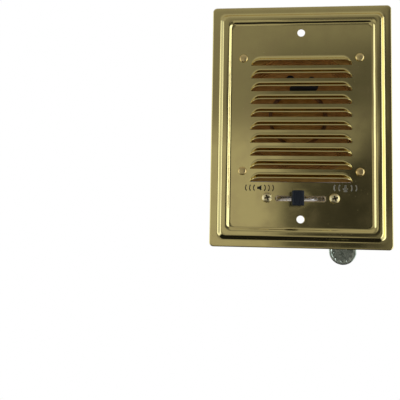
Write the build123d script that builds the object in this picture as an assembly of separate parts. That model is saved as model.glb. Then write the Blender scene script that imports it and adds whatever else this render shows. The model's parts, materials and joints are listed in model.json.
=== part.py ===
from build123d import *
import math
import os

# Outdoor door station of a wired intercom: pressed louvred face plate, moving-coil
# loudspeaker, spring-return listen/talk lever switch and screw terminal board.
# Frame: origin midway between the two fixing holes, on the back of the recessed panel.
# +X to the right seen from the front, +Y into the wall, +Z up. Millimetres.

# ---- face plate ----
PLATE_WIDTH = 129.6
PLATE_HEIGHT = 177.8
SHEET = 0.8
PANEL_FRONT = -SHEET
FLANGE_FRONT = 0.4
CREST_FRONT = -2.6
RIM_BACK = 3.4
OUTER_RADIUS = 3.0
FLANGE_WIDTH = 5.2
CREST_START = 8.7
CREST_END = 11.9
PANEL_START = 14.4
MOULDING_RADIUS = 4.4
PANEL_RADIUS = 3.7
FIXING_SPACING = 136.5
FIXING_HOLE_RADIUS = 2.7

# ---- louvres ----
LOUVRE_COUNT = 10
LOUVRE_PITCH = 9.525
LOUVRE_TOP_CUT = 44.0
LOUVRE_LENGTH = 72.2
LOUVRE_END = 7.0
LOUVRE_ROOT = 7.0
LOUVRE_LIP = 2.4
LOUVRE_DEPTH = 4.2
LOUVRE_CREST_STEPS = 6
LOUVRE_END_STEPS = (0.0, 0.35, 0.6, 0.8, 0.92, 0.98)

# ---- loudspeaker ----
SPEAKER_Z = 7.8
STUD_SPACING = 83.3
STUD_RADIUS = 2.0
STUD_HEAD_RADIUS = 3.0
STUD_HEAD_HEIGHT = 1.1
STUD_END = 16.8
STUD_HOLE_RADIUS = 2.15
FIT = 0.02
RUNNING_FIT = 0.05
GASKET_THICKNESS = 1.6
FRAME_SHEET = 0.9
FRAME_SQUARE = 98.0
FRAME_CORNER = 11.0
MOUTH_RADIUS = 45.0
LEDGE_INNER = 41.0
LEDGE_Y = 3.4
BOWL_RADIUS = 23.0
NECK_RADIUS = 19.0
SPIDER_Y = 20.0
BOWL_BACK = 24.0
WINDOW_ANGLE = 62.0
WINDOW_RADII = (25.0, 49.0)
WINDOW_DEPTHS = (6.4, 18.5)
CONE_EDGE_RADIUS = 38.0
CONE_EDGE_Y = 3.2
CONE_NECK_Y = 17.0
SURROUND_ROLLS = 2
SURROUND_ROLL_HEIGHT = 0.45
SURROUND_ROLL_END = 41.6
SPIDER_ROLLS = 4
SPIDER_ROLL_HEIGHT = 0.5
PAPER = 0.5
CAP_RADIUS = 19.0
CAP_HEIGHT = 4.2
FORMER_RADIUS = 9.7
FORMER_WALL = 0.2
FORMER_FRONT = 17.6
COIL_RADIUS = 10.1
COIL_FRONT = 22.5
COIL_BACK = 29.0
POLE_RADIUS = 9.1
GAP_RADIUS = 10.5
POLE_FRONT = 23.6
POLE_BACK = 31.0
TOP_PLATE_BACK = 28.0
YOKE_SPAN = 46.0
YOKE_WIDTH = 26.0
YOKE_SHEET = 3.0
YOKE_BACK = 46.0
SLUG_RADIUS = 8.5
STRIP_SHEET = 1.5
STRIP_DEPTHS = (29.0, 42.0)
STRIP_RIVET_Y = 36.0
STRIP_RIVET_RADIUS = 1.45
RIVET_HEAD_RADIUS = 2.6
RIVET_HEAD_HEIGHT = 0.8
SPEAKER_LUG_X = 9.0
SPEAKER_LUG_DEPTHS = (29.0, 39.0)
LUG_HALF_WIDTH = 1.8
LUG_EYE_Y = 31.3
LUG_EYE_RADIUS = 0.6
WIRE_LUG_Y = 32.8
LEAD_LUG_Y = 29.9
LEAD_X = 7.7
LEAD_CONE_RADIUS = 26.0

# ---- fixings and terminal board ----
WASHER_THICKNESS = 0.8
WASHER_RADIUS = 4.4
NUT_FLATS = 8.0
NUT_HEIGHT = 3.0
BOARD_Y = 11.3
BOARD_SHEET = 1.6
BOARD_WIDTH = 94.0
BOARD_HEIGHT = 15.0
SPACER_RADIUS = 3.4
TERMINAL_X = (-20.0, 0.0, 20.0)
TERMINAL_PLATE = 9.0
TERMINAL_SHEET = 0.8
TERMINAL_LUG_END = 9.5
TERMINAL_SCREW_RADIUS = 1.7
TERMINAL_SCREW_TIP = 1.0
TERMINAL_HEAD_RADIUS = 3.6
TERMINAL_HEAD_HEIGHT = 2.0
TERMINAL_SLOT_WIDTH = 1.0
TERMINAL_SLOT_DEPTH = 1.0

# ---- lever switch ----
SWITCH_Z = -53.5
SLOT_LENGTH = 35.3
SLOT_HEIGHT = 4.1
SCREW_SPACING = 47.6
SCREW_Z = SWITCH_Z + 0.5
SCREW_RADIUS = 1.73
SCREW_HOLE_RADIUS = 2.03
SCREW_HEAD_RADIUS = 3.6
SCREW_HEAD_HEIGHT = 2.0
SCREW_END = 5.0
RECESS_WIDTH = 1.0
RECESS_LENGTH = 4.2
RECESS_TURN = 17.0
RECESS_FLOOR = 0.7
FRAME_BAR = 1.2
FRAME_HEIGHT = 11.0
FRAME_LEG_X = 18.0
FRAME_EAR_X = 28.5
FRAME_DEPTH = 37.0
PIVOT_Y = 30.0
PIVOT_RADIUS = 1.5
PIVOT_HEAD_RADIUS = 2.4
PIVOT_HEAD_HEIGHT = 0.8
INDEX_RADIUS = 28.3
INDEX_HALF_WIDTH = 13.5
INDEX_BOTTOM = SWITCH_Z - 0.5
INDEX_TOP = SWITCH_Z + 0.7
BLADE_BOTTOM = SWITCH_Z + 0.8
BLADE_TOP = SWITCH_Z + 1.5
BLADE_WIDTH = 5.0
LEVER_REST = -4.7
LEVER_SWING = 14.5
KNOB_WIDTH = 8.2
KNOB_HEIGHT = 10.6
KNOB_CLEARANCE = 0.4
KNOB_FRONT = -10.6
KNOB_CORNER = 1.0
KNOB_CHAMFER = 0.7
BLADE_REACH = 4.0
BLADE_EYE_RADIUS = 4.4
SPRING_STUD_Y = 18.0
SPRING_STUD_RADIUS = 0.9
SPRING_STUD_HEIGHT = 1.6
HUB_RADIUS = 3.8
HUB_TOP = SWITCH_Z + 5.0
WAFER_BOTTOM = SWITCH_Z + 6.2
WAFER_SHEET = 1.5
WAFER_TOP = WAFER_BOTTOM + WAFER_SHEET
WAFER_HALF_WIDTH = 17.0
WAFER_FRONT = 16.5
WAFER_POST_PLACE = (11.0, 32.4)
POST_RADIUS = 2.2
POST_SHANK_RADIUS = 1.2
POST_HEAD_RADIUS = 2.0
POST_HEAD_HEIGHT = 0.7
CLIP_RADIUS = 10.5
CLIP_ANGLES = (-66.0, -24.0, 24.0, 66.0)
CLIP_SHEET = 0.5
CLIP_LUG = 4.0
CLIP_LUG_WIDTH = 3.0
CLIP_SHANK_RADIUS = 1.08
CLIP_FACE_RADIUS = 1.9
WIPER_WIDTH = 3.2
WIPER_OVERHANG = 2.0
WIPER_SHEET = 0.5
SPRING_WIRE = 0.4
SPRING_RADIUS = 4.4
SPRING_TURNS = 3
SPRING_PITCH = 0.7
SPRING_LIFT = 0.55
SPRING_LEG_END = (1.4, 16.0)

# ---- zinc ear and wiring ----
EAR_X = 30.1
EAR_RADIUS = 9.5
EAR_CENTRE_Z = -90.3
EAR_TOP_Z = -84.6
EAR_SHEET = 1.2
WIRE_RADIUS = 0.65
TINSEL_RADIUS = 0.4
MARK_PROUD = 0.18
MARK_STROKE = 0.85
WAVE_RADIUS = 3.2
WAVE_WEDGE = (6.0, 5.2)
LISTEN_PLACE = (-29.2, -46.0)
LISTEN_WAVES = (4.2, 7.1, 10.0)
TALK_PLACE = (31.3, -45.4)
TALK_WAVES = (4.6, 7.9)


def slab(sketch, y_back, y_front):
    """Solid between two depths whose outline is a sketch drawn in X and Z."""
    return extrude(Plane.XZ.offset(-y_back) * sketch, amount=y_back - y_front)


def rod(x, z, radius, y_front, y_back):
    """Cylinder along Y."""
    return slab(Pos(x, z) * Circle(radius), y_back, y_front)


def tube(x, z, outer, inner, y_front, y_back):
    """Round tube along Y."""
    return rod(x, z, outer, y_front, y_back) - rod(x, z, inner, y_front, y_back)


def post(x, y, radius, z_low, z_high):
    """Cylinder along Z."""
    return Pos(x, y, (z_low + z_high) / 2) * Cylinder(radius, z_high - z_low)


def block(x_range, y_range, z_range):
    """Box between pairs of limits."""
    sizes = [high - low for low, high in (x_range, y_range, z_range)]
    middle = [(high + low) / 2 for low, high in (x_range, y_range, z_range)]
    return Pos(*middle) * Box(*sizes)


def turned(points, x=0.0, z=SPEAKER_Z):
    """Solid of revolution about an axis along Y; points are radius and depth."""
    face = make_face(Polyline(*points, close=True))
    return Pos(x, 0, z) * revolve(face, Axis.Y)


def inset_outline(inset, radius):
    """Rounded rectangle at a distance inside the plate's edge."""
    return RectangleRounded(PLATE_WIDTH - 2 * inset, PLATE_HEIGHT - 2 * inset, radius)


def frustum(inset_a, radius_a, y_a, inset_b, radius_b, y_b):
    """Sloping ring solid between two rounded rectangles at two depths."""
    first = Plane.XZ.offset(-y_a) * inset_outline(inset_a, radius_a)
    second = Plane.XZ.offset(-y_b) * inset_outline(inset_b, radius_b)
    return loft([first, second], ruled=True)


def pressed_form(shift, wall):
    """Filled form of the pressing, moved back by shift and drawn in by wall."""
    rim = slab(inset_outline(wall, OUTER_RADIUS - wall), RIM_BACK, FLANGE_FRONT + shift)
    slope = frustum(
        FLANGE_WIDTH + wall, MOULDING_RADIUS, FLANGE_FRONT + shift,
        CREST_START + wall, MOULDING_RADIUS, CREST_FRONT + shift,
    )
    recess = frustum(
        CREST_END - wall, PANEL_RADIUS, CREST_FRONT + shift,
        PANEL_START - wall, PANEL_RADIUS, PANEL_FRONT + shift,
    )
    return rim + slope - recess


def louvre_profile(depth, root, lip, steps):
    """Hood of one louvre: height above the cut and depth in front of the panel."""
    points = []
    for step in range(steps + 1):
        share = step / steps
        bulge = 0.5 - 0.5 * math.cos(math.pi * share)
        points.append((root + (lip - root) * share, depth * bulge))
    return points


def louvre_solid(cut_z, half_length, depth, root, lip, bottom, back):
    """Loft of one hood profile, drawn down to the cut line at both ends."""
    straight = half_length - LOUVRE_END
    stations = [straight + LOUVRE_END * step for step in LOUVRE_END_STEPS]
    scales = [math.sqrt(1 - step * step) for step in LOUVRE_END_STEPS]
    ends = list(zip(stations, scales))
    sections = [(-x, scale) for x, scale in reversed(ends)] + ends
    crest = louvre_profile(depth, root, lip, LOUVRE_CREST_STEPS)
    wires = []
    for x, scale in sections:
        outline = [(root * scale, -back)]
        outline += [(height * scale, out * scale) for height, out in crest]
        if bottom < lip:
            outline.append((bottom * scale, depth * scale))
        outline.append((bottom * scale, -back))
        corners = [Vector(x, PANEL_FRONT - out, cut_z + height) for height, out in outline]
        wires.append(Wire.make_polygon(corners, close=True))
    return Solid.make_loft(wires, True)


def make_face_plate():
    plate = pressed_form(0.0, 0.0) - pressed_form(SHEET, SHEET * 0.7)
    plate -= slab(inset_outline(SHEET, OUTER_RADIUS - SHEET), RIM_BACK, FLANGE_FRONT + SHEET)
    plate += slab(inset_outline(PANEL_START - SHEET, PANEL_RADIUS), 0.0, PANEL_FRONT)
    for index in range(LOUVRE_COUNT):
        cut_z = LOUVRE_TOP_CUT - index * LOUVRE_PITCH
        plate += louvre_solid(
            cut_z, LOUVRE_LENGTH / 2, LOUVRE_DEPTH, LOUVRE_ROOT, LOUVRE_LIP, LOUVRE_LIP,
            SHEET / 2,
        )
        plate -= louvre_solid(
            cut_z, LOUVRE_LENGTH / 2 - SHEET, LOUVRE_DEPTH - SHEET,
            LOUVRE_ROOT - SHEET, LOUVRE_LIP, 0.0, 2 * SHEET,
        )
    for side in (-1, 1):
        plate -= rod(0, side * FIXING_SPACING / 2, FIXING_HOLE_RADIUS, CREST_FRONT, RIM_BACK)
        plate -= rod(side * SCREW_SPACING / 2, SCREW_Z, SCREW_HOLE_RADIUS, CREST_FRONT, RIM_BACK)
    for x, z in stud_places():
        plate -= rod(x, z, STUD_RADIUS + 0.1, CREST_FRONT, RIM_BACK)
    slot = Pos(0, SWITCH_Z) * SlotOverall(SLOT_LENGTH, SLOT_HEIGHT)
    plate -= slab(slot, RIM_BACK, CREST_FRONT)
    notch = Pos(EAR_X, -PLATE_HEIGHT / 2) * Rectangle(2 * EAR_RADIUS + 1, 4 * SHEET)
    plate -= slab(notch, RIM_BACK, FLANGE_FRONT + SHEET)
    return plate


def stud_places():
    half = STUD_SPACING / 2
    return [(x, SPEAKER_Z + z) for x in (-half, half) for z in (-half, half)]


def lower_stud_places():
    return [place for place in stud_places() if place[1] < SPEAKER_Z]


def make_studs():
    profile = [(0, PANEL_FRONT - STUD_HEAD_HEIGHT)]
    for step in range(1, 5):
        turn = math.radians(90 * step / 4)
        profile.append(
            (STUD_HEAD_RADIUS * math.sin(turn), PANEL_FRONT - STUD_HEAD_HEIGHT * math.cos(turn))
        )
    profile += [(STUD_RADIUS, PANEL_FRONT), (STUD_RADIUS, STUD_END), (0, STUD_END)]
    return [turned(profile, x, z) for x, z in stud_places()]


def make_washers():
    front = GASKET_THICKNESS + FRAME_SHEET
    back = front + WASHER_THICKNESS
    return [tube(x, z, WASHER_RADIUS, STUD_HOLE_RADIUS, front, back) for x, z in stud_places()]


def make_nuts():
    front = GASKET_THICKNESS + FRAME_SHEET + WASHER_THICKNESS
    outline = RegularPolygon(NUT_FLATS / 2, 6, major_radius=False) - Circle(STUD_RADIUS + FIT)
    nuts = [slab(Pos(x, z) * outline, front + NUT_HEIGHT, front) for x, z in stud_places()]
    board_back = BOARD_Y + BOARD_SHEET
    for x, z in lower_stud_places():
        nuts.append(slab(Pos(x, z) * outline, board_back + NUT_HEIGHT, board_back))
    return nuts


def make_gasket():
    outline = Pos(0, SPEAKER_Z) * (RectangleRounded(FRAME_SQUARE, FRAME_SQUARE, FRAME_CORNER)
                                   - Circle(MOUTH_RADIUS + 1))
    gasket = slab(outline, GASKET_THICKNESS, 0.0)
    for x, z in stud_places():
        gasket -= rod(x, z, STUD_HOLE_RADIUS, 0.0, GASKET_THICKNESS)
    return gasket


def make_basket():
    flange_back = GASKET_THICKNESS + FRAME_SHEET
    square = RectangleRounded(FRAME_SQUARE, FRAME_SQUARE, FRAME_CORNER)
    outline = Pos(0, SPEAKER_Z) * (square - Circle(MOUTH_RADIUS))
    basket = slab(outline, flange_back, GASKET_THICKNESS)
    bowl = [
        (MOUTH_RADIUS, GASKET_THICKNESS), (MOUTH_RADIUS, LEDGE_Y), (LEDGE_INNER, LEDGE_Y),
        (BOWL_RADIUS, SPIDER_Y), (NECK_RADIUS, SPIDER_Y), (NECK_RADIUS, BOWL_BACK - FRAME_SHEET),
        (GAP_RADIUS + 1, BOWL_BACK - FRAME_SHEET), (GAP_RADIUS + 1, BOWL_BACK),
        (NECK_RADIUS + FRAME_SHEET, BOWL_BACK),
        (NECK_RADIUS + FRAME_SHEET, SPIDER_Y + FRAME_SHEET),
        (BOWL_RADIUS + FRAME_SHEET, SPIDER_Y + FRAME_SHEET),
        (LEDGE_INNER + FRAME_SHEET, LEDGE_Y + FRAME_SHEET),
        (MOUTH_RADIUS + FRAME_SHEET, LEDGE_Y + FRAME_SHEET),
        (MOUTH_RADIUS + FRAME_SHEET, GASKET_THICKNESS),
    ]
    basket += turned(bowl)
    near, far = WINDOW_RADII
    front, back = WINDOW_DEPTHS
    window = [(near, front), (far, front), (far, back), (near, back)]
    for quarter in range(4):
        turn = Rot(0, 90 * quarter - WINDOW_ANGLE / 2, 0)
        cutter = revolve(make_face(Polyline(*window, close=True)), Axis.Y, WINDOW_ANGLE)
        basket -= Pos(0, 0, SPEAKER_Z) * turn * cutter
    for x, z in stud_places():
        basket -= rod(x, z, STUD_HOLE_RADIUS, GASKET_THICKNESS, flange_back)
    return basket


def rippled_ring(inner, outer, ripples, height, y_mid, thickness):
    """Flat ring with round corrugations, as one turned solid."""
    front = []
    steps = ripples * 6
    for step in range(steps + 1):
        radius = inner + (outer - inner) * step / steps
        front.append((radius, y_mid + height * math.sin(2 * math.pi * ripples * step / steps)))
    back = [(radius, depth + thickness) for radius, depth in reversed(front)]
    return turned(front + back)


def make_surround():
    front = LEDGE_Y - PAPER
    ring = rippled_ring(
        CONE_EDGE_RADIUS, SURROUND_ROLL_END, SURROUND_ROLLS, SURROUND_ROLL_HEIGHT, front, PAPER
    )
    outer = MOUTH_RADIUS - 0.2
    lip = [(SURROUND_ROLL_END, front), (outer, front), (outer, LEDGE_Y), (SURROUND_ROLL_END, LEDGE_Y)]
    return ring + turned(lip)


def cone_depth(radius):
    """Depth of the cone's front surface at a radius."""
    share = (CONE_EDGE_RADIUS - radius) / (CONE_EDGE_RADIUS - FORMER_RADIUS)
    return CONE_EDGE_Y + (CONE_NECK_Y - CONE_EDGE_Y) * (0.8 * share + 0.2 * share * share)


def make_cone():
    steps = 8
    front = []
    for step in range(steps + 1):
        radius = CONE_EDGE_RADIUS + (FORMER_RADIUS - CONE_EDGE_RADIUS) * step / steps
        front.append((radius, cone_depth(radius)))
    back = [(radius, depth + PAPER) for radius, depth in reversed(front)]
    return turned(front + back)


def make_dust_cap():
    steps = 6
    base = cone_depth(CAP_RADIUS)
    front = []
    for step in range(steps + 1):
        turn = math.radians(90 * step / steps)
        front.append((CAP_RADIUS * math.cos(turn), base - CAP_HEIGHT * math.sin(turn)))
    front[-1] = (0.0, base - CAP_HEIGHT)
    back = []
    for step in range(steps, -1, -1):
        turn = math.radians(90 * step / steps)
        back.append(
            ((CAP_RADIUS - PAPER) * math.cos(turn), base - (CAP_HEIGHT - PAPER) * math.sin(turn))
        )
    back[0] = (0.0, base - CAP_HEIGHT + PAPER)
    return turned(front + back)


def make_spider():
    y_mid = SPIDER_Y - PAPER - SPIDER_ROLL_HEIGHT
    return rippled_ring(
        FORMER_RADIUS, BOWL_RADIUS - 0.3, SPIDER_ROLLS, SPIDER_ROLL_HEIGHT, y_mid, PAPER
    )


def make_magnet_parts():
    """Magnet under a yoke that stands upright, its arms above and below."""
    x_range = (-YOKE_WIDTH / 2, YOKE_WIDTH / 2)
    z_range = (SPEAKER_Z - YOKE_SPAN / 2, SPEAKER_Z + YOKE_SPAN / 2)
    top_plate = block(x_range, (BOWL_BACK, TOP_PLATE_BACK), z_range)
    top_plate -= rod(0, SPEAKER_Z, GAP_RADIUS, BOWL_BACK, TOP_PLATE_BACK)
    yoke = block(x_range, (YOKE_BACK - YOKE_SHEET, YOKE_BACK), z_range)
    for low in (z_range[0], z_range[1] - YOKE_SHEET):
        yoke += block(x_range, (TOP_PLATE_BACK, YOKE_BACK), (low, low + YOKE_SHEET))
    pole = rod(0, SPEAKER_Z, POLE_RADIUS, POLE_FRONT, POLE_BACK)
    slug = rod(0, SPEAKER_Z, SLUG_RADIUS, POLE_BACK, YOKE_BACK - YOKE_SHEET)
    return top_plate, yoke, pole, slug


def make_speaker_terminals():
    """Terminal strip riveted on the yoke's upper arm, with two solder lugs."""
    strip_z = SPEAKER_Z + YOKE_SPAN / 2
    face_z = strip_z + STRIP_SHEET
    half = YOKE_WIDTH / 2
    strip = block((-half, half), STRIP_DEPTHS, (strip_z, face_z))
    strip -= post(0, STRIP_RIVET_Y, STRIP_RIVET_RADIUS + RUNNING_FIT, strip_z, face_z)
    lugs = []
    for x in (-SPEAKER_LUG_X, SPEAKER_LUG_X):
        width = (x - LUG_HALF_WIDTH, x + LUG_HALF_WIDTH)
        lug = block(width, SPEAKER_LUG_DEPTHS, (face_z, face_z + CLIP_SHEET))
        lugs.append(lug - post(x, LUG_EYE_Y, LUG_EYE_RADIUS, face_z, face_z + CLIP_SHEET))
    rivet = post(0, STRIP_RIVET_Y, STRIP_RIVET_RADIUS, strip_z, face_z)
    rivet += post(0, STRIP_RIVET_Y, RIVET_HEAD_RADIUS, face_z, face_z + RIVET_HEAD_HEIGHT)
    return strip, lugs, rivet


def bent_wire(points, radii, radius):
    """Round wire along straight runs joined by tangent arcs."""
    path = FilletPolyline(*points, radius=radii)
    start = Plane(path @ 0, z_dir=path % 0)
    return sweep(start * Circle(radius), path=path)


def lug_top():
    """Height of the loudspeaker lugs' upper face."""
    return SPEAKER_Z + YOKE_SPAN / 2 + STRIP_SHEET + CLIP_SHEET


def make_tinsel():
    """Braided leads from the lugs, through the upper window, to the back of the cone."""
    leads = []
    top = lug_top()
    lug_y = LEAD_LUG_Y
    cone_y = cone_depth(LEAD_CONE_RADIUS) + PAPER
    for side in (-1, 1):
        points = [
            (side * SPEAKER_LUG_X, lug_y, top), (side * SPEAKER_LUG_X, lug_y, top + 6),
            (side * 8.6, lug_y - 9, top + 9), (side * 8.1, lug_y - 16, top + 6),
            (side * LEAD_X, cone_y + 0.6, SPEAKER_Z + 25.3),
        ]
        leads.append(bent_wire(points, [2.0, 3.0, 3.0], TINSEL_RADIUS))
    return leads


def make_terminal_board():
    board_z = SPEAKER_Z - STUD_SPACING / 2
    board = slab(Pos(0, board_z) * RectangleRounded(BOARD_WIDTH, BOARD_HEIGHT, 2.0),
                 BOARD_Y + BOARD_SHEET, BOARD_Y)
    spacers = []
    for x, z in lower_stud_places():
        board -= rod(x, z, STUD_HOLE_RADIUS, BOARD_Y, BOARD_Y + BOARD_SHEET)
        nut_back = GASKET_THICKNESS + FRAME_SHEET + WASHER_THICKNESS + NUT_HEIGHT
        spacers.append(tube(x, z, SPACER_RADIUS, STUD_HOLE_RADIUS, nut_back, BOARD_Y))
    plates = []
    screws = []
    back = BOARD_Y + BOARD_SHEET
    for x in TERMINAL_X:
        hole_radius = TERMINAL_SCREW_RADIUS + RUNNING_FIT
        plate_back = back + TERMINAL_SHEET
        board -= rod(x, board_z, hole_radius, BOARD_Y, back)
        plate = slab(Pos(x, board_z) * Rectangle(TERMINAL_PLATE, TERMINAL_PLATE), plate_back, back)
        plate += block((x - LUG_HALF_WIDTH, x + LUG_HALF_WIDTH), (back, plate_back),
                       (board_z - TERMINAL_LUG_END, board_z - TERMINAL_PLATE / 2))
        plates.append(plate - rod(x, board_z, hole_radius, back, plate_back))
        screw = rod(x, board_z, TERMINAL_SCREW_RADIUS, BOARD_Y - TERMINAL_SCREW_TIP, plate_back)
        head_back = plate_back + TERMINAL_HEAD_HEIGHT
        screw += rod(x, board_z, TERMINAL_HEAD_RADIUS, plate_back, head_back)
        slot = Rectangle(2 * TERMINAL_HEAD_RADIUS + 1, TERMINAL_SLOT_WIDTH)
        screw -= slab(Pos(x, board_z) * slot, head_back, head_back - TERMINAL_SLOT_DEPTH)
        screws.append(screw)
    return board, spacers, plates, screws


def make_switch_frame():
    half = FRAME_HEIGHT / 2
    z_range = (SWITCH_Z - half, SWITCH_Z + half)
    bar = FRAME_BAR
    leg = FRAME_LEG_X
    frame = block((-leg - bar, leg + bar), (FRAME_DEPTH - bar, FRAME_DEPTH), z_range)
    for side in (-1, 1):
        frame += block(sorted((side * leg, side * (leg + bar))), (0, FRAME_DEPTH), z_range)
        ear = block(sorted((side * leg, side * FRAME_EAR_X)), (0, bar), z_range)
        frame += ear - rod(side * SCREW_SPACING / 2, SCREW_Z, SCREW_RADIUS + FIT, 0, bar)
    disc = post(0, PIVOT_Y, INDEX_RADIUS, INDEX_BOTTOM, INDEX_TOP)
    index_plate = disc & block(
        (-INDEX_HALF_WIDTH, INDEX_HALF_WIDTH), (0, FRAME_DEPTH - bar), (INDEX_BOTTOM, INDEX_TOP)
    )
    frame += index_plate
    frame -= post(0, PIVOT_Y, PIVOT_RADIUS + FIT, INDEX_BOTTOM, INDEX_TOP)
    return frame


def wafer_post_places():
    x, y = WAFER_POST_PLACE
    return [(-x, y), (x, y)]


def polar(radius, degrees):
    """Point about the lever's pivot; 0 points to the front, positive to the right."""
    turn = math.radians(degrees)
    return radius * math.sin(turn), PIVOT_Y - radius * math.cos(turn)


def make_wafer():
    wafer = block((-WAFER_HALF_WIDTH, WAFER_HALF_WIDTH), (WAFER_FRONT, FRAME_DEPTH - FRAME_BAR),
                  (WAFER_BOTTOM, WAFER_TOP))
    wafer -= post(0, PIVOT_Y, PIVOT_RADIUS + FIT, WAFER_BOTTOM, WAFER_TOP)
    posts = []
    for x, y in wafer_post_places():
        wafer -= post(x, y, POST_SHANK_RADIUS + FIT, WAFER_BOTTOM, WAFER_TOP)
        spacer = post(x, y, POST_RADIUS, INDEX_TOP, WAFER_BOTTOM)
        spacer += post(x, y, POST_SHANK_RADIUS, WAFER_BOTTOM, WAFER_TOP)
        spacer += post(x, y, POST_HEAD_RADIUS, WAFER_TOP, WAFER_TOP + POST_HEAD_HEIGHT)
        posts.append(spacer)
    clips = []
    for degrees in CLIP_ANGLES:
        x, y = polar(CLIP_RADIUS, degrees)
        wafer -= post(x, y, CLIP_SHANK_RADIUS + FIT, WAFER_BOTTOM, WAFER_TOP)
        clip = post(x, y, CLIP_SHANK_RADIUS, WAFER_BOTTOM, WAFER_TOP)
        clip += post(x, y, CLIP_FACE_RADIUS, WAFER_BOTTOM - CLIP_SHEET, WAFER_BOTTOM)
        clip += post(x, y, CLIP_FACE_RADIUS, WAFER_TOP, WAFER_TOP + CLIP_SHEET)
        width, sheet = CLIP_LUG_WIDTH / 2, CLIP_SHEET / 2
        clip += block((x - width, x + width), (y - sheet, y + sheet),
                      (WAFER_TOP, WAFER_TOP + CLIP_LUG))
        clips.append(clip)
    return wafer, posts, clips


def make_pivot():
    pin = post(0, PIVOT_Y, PIVOT_RADIUS, INDEX_BOTTOM, WAFER_TOP)
    pin += post(0, PIVOT_Y, PIVOT_HEAD_RADIUS, INDEX_BOTTOM - PIVOT_HEAD_HEIGHT, INDEX_BOTTOM)
    pin += post(0, PIVOT_Y, PIVOT_HEAD_RADIUS, WAFER_TOP, WAFER_TOP + PIVOT_HEAD_HEIGHT)
    return pin


def lever_turn():
    """Turn about the pivot that puts lever parts at their rest angle."""
    return Pos(0, PIVOT_Y, 0) * Rot(0, 0, LEVER_REST) * Pos(0, -PIVOT_Y, 0)


def knob_back_radius():
    """Radius about the pivot of the knob's hollow back, which clears the panel at full swing."""
    edge_angle = math.degrees(math.asin(KNOB_WIDTH / 2 / (PIVOT_Y - PANEL_FRONT)))
    reach = PIVOT_Y - PANEL_FRONT + KNOB_CLEARANCE
    return reach / math.cos(math.radians(LEVER_SWING + edge_angle))


def make_lever():
    half = BLADE_WIDTH / 2
    back_radius = knob_back_radius()
    bore_radius = PIVOT_RADIUS + RUNNING_FIT
    blade_end = PIVOT_Y - back_radius - BLADE_REACH
    blade = block((-half, half), (blade_end, PIVOT_Y), (BLADE_BOTTOM, BLADE_TOP))
    blade += post(0, PIVOT_Y, BLADE_EYE_RADIUS, BLADE_BOTTOM, BLADE_TOP)
    blade -= post(0, PIVOT_Y, bore_radius, BLADE_BOTTOM, BLADE_TOP)
    blade += post(0, SPRING_STUD_Y, SPRING_STUD_RADIUS, BLADE_TOP, BLADE_TOP + SPRING_STUD_HEIGHT)
    knob = slab(Pos(0, SWITCH_Z) * RectangleRounded(KNOB_WIDTH, KNOB_HEIGHT, KNOB_CORNER),
                0.0, KNOB_FRONT)
    knob = chamfer(knob.faces().sort_by(Axis.Y)[0].edges(), KNOB_CHAMFER)
    knob -= post(0, PIVOT_Y, back_radius, SWITCH_Z - KNOB_HEIGHT, SWITCH_Z + KNOB_HEIGHT)
    knob -= block((-half, half), (blade_end, PANEL_FRONT), (BLADE_BOTTOM, BLADE_TOP))
    hub = post(0, PIVOT_Y, HUB_RADIUS, BLADE_TOP, HUB_TOP)
    hub -= post(0, PIVOT_Y, bore_radius, BLADE_TOP, HUB_TOP)
    wiper_top = HUB_TOP + WIPER_SHEET
    wiper = block((-WIPER_WIDTH / 2, WIPER_WIDTH / 2),
                  (PIVOT_Y - CLIP_RADIUS - WIPER_OVERHANG, PIVOT_Y), (HUB_TOP, wiper_top))
    wiper += post(0, PIVOT_Y, HUB_RADIUS, HUB_TOP, wiper_top)
    wiper -= post(0, PIVOT_Y, bore_radius, HUB_TOP, wiper_top)
    turn = lever_turn()
    return turn * blade, turn * knob, turn * hub, turn * wiper


def make_return_spring():
    """Hairpin torsion spring: turns round the hub and two legs to the lever's stud."""
    low = BLADE_TOP + SPRING_LIFT
    leg_z = low + SPRING_PITCH
    end_x, end_y = SPRING_LEG_END
    spring = Pos(0, PIVOT_Y, low) * Torus(SPRING_RADIUS, SPRING_WIRE)
    for level in range(1, SPRING_TURNS):
        spring += Pos(0, PIVOT_Y, low + level * SPRING_PITCH) * Torus(SPRING_RADIUS, SPRING_WIRE)
    for side in (-1, 1):
        leg = Line((side * SPRING_RADIUS, PIVOT_Y, leg_z), (side * end_x, end_y, leg_z))
        spring += sweep(Plane(leg @ 0, z_dir=leg % 0) * Circle(SPRING_WIRE), path=leg)
    return lever_turn() * spring


def make_switch_screws():
    screws = []
    for side in (-1, 1):
        x = side * SCREW_SPACING / 2
        dome = [(0, PANEL_FRONT - SCREW_HEAD_HEIGHT)]
        for step in range(1, 6):
            turn = math.radians(90 * step / 5)
            dome.append((SCREW_HEAD_RADIUS * math.sin(turn),
                         PANEL_FRONT - SCREW_HEAD_HEIGHT * math.cos(turn)))
        dome += [(SCREW_RADIUS, PANEL_FRONT), (SCREW_RADIUS, SCREW_END), (0, SCREW_END)]
        screw = turned(dome, x, SCREW_Z)
        for turn in (RECESS_TURN, RECESS_TURN + 90):
            arm = Pos(x, SCREW_Z) * Rot(0, 0, turn) * Rectangle(RECESS_LENGTH, RECESS_WIDTH)
            screw -= slab(arm, PANEL_FRONT - RECESS_FLOOR, PANEL_FRONT - SCREW_HEAD_HEIGHT)
        screws.append(screw)
    return screws


def make_ear():
    """Round-ended zinc ear welded to the back of the lower flange."""
    disc = Pos(EAR_X, EAR_CENTRE_Z) * Circle(EAR_RADIUS)
    tab_height = EAR_TOP_Z - EAR_CENTRE_Z
    tab = Pos(EAR_X, EAR_CENTRE_Z + tab_height / 2) * Rectangle(2 * EAR_RADIUS, tab_height)
    front = FLANGE_FRONT + SHEET
    ear = slab(disc + tab, front + EAR_SHEET, front)
    above = Pos(EAR_X, EAR_TOP_Z + EAR_RADIUS) * Rectangle(4 * EAR_RADIUS, 2 * EAR_RADIUS)
    return ear - slab(above, front + EAR_SHEET, front)


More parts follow.
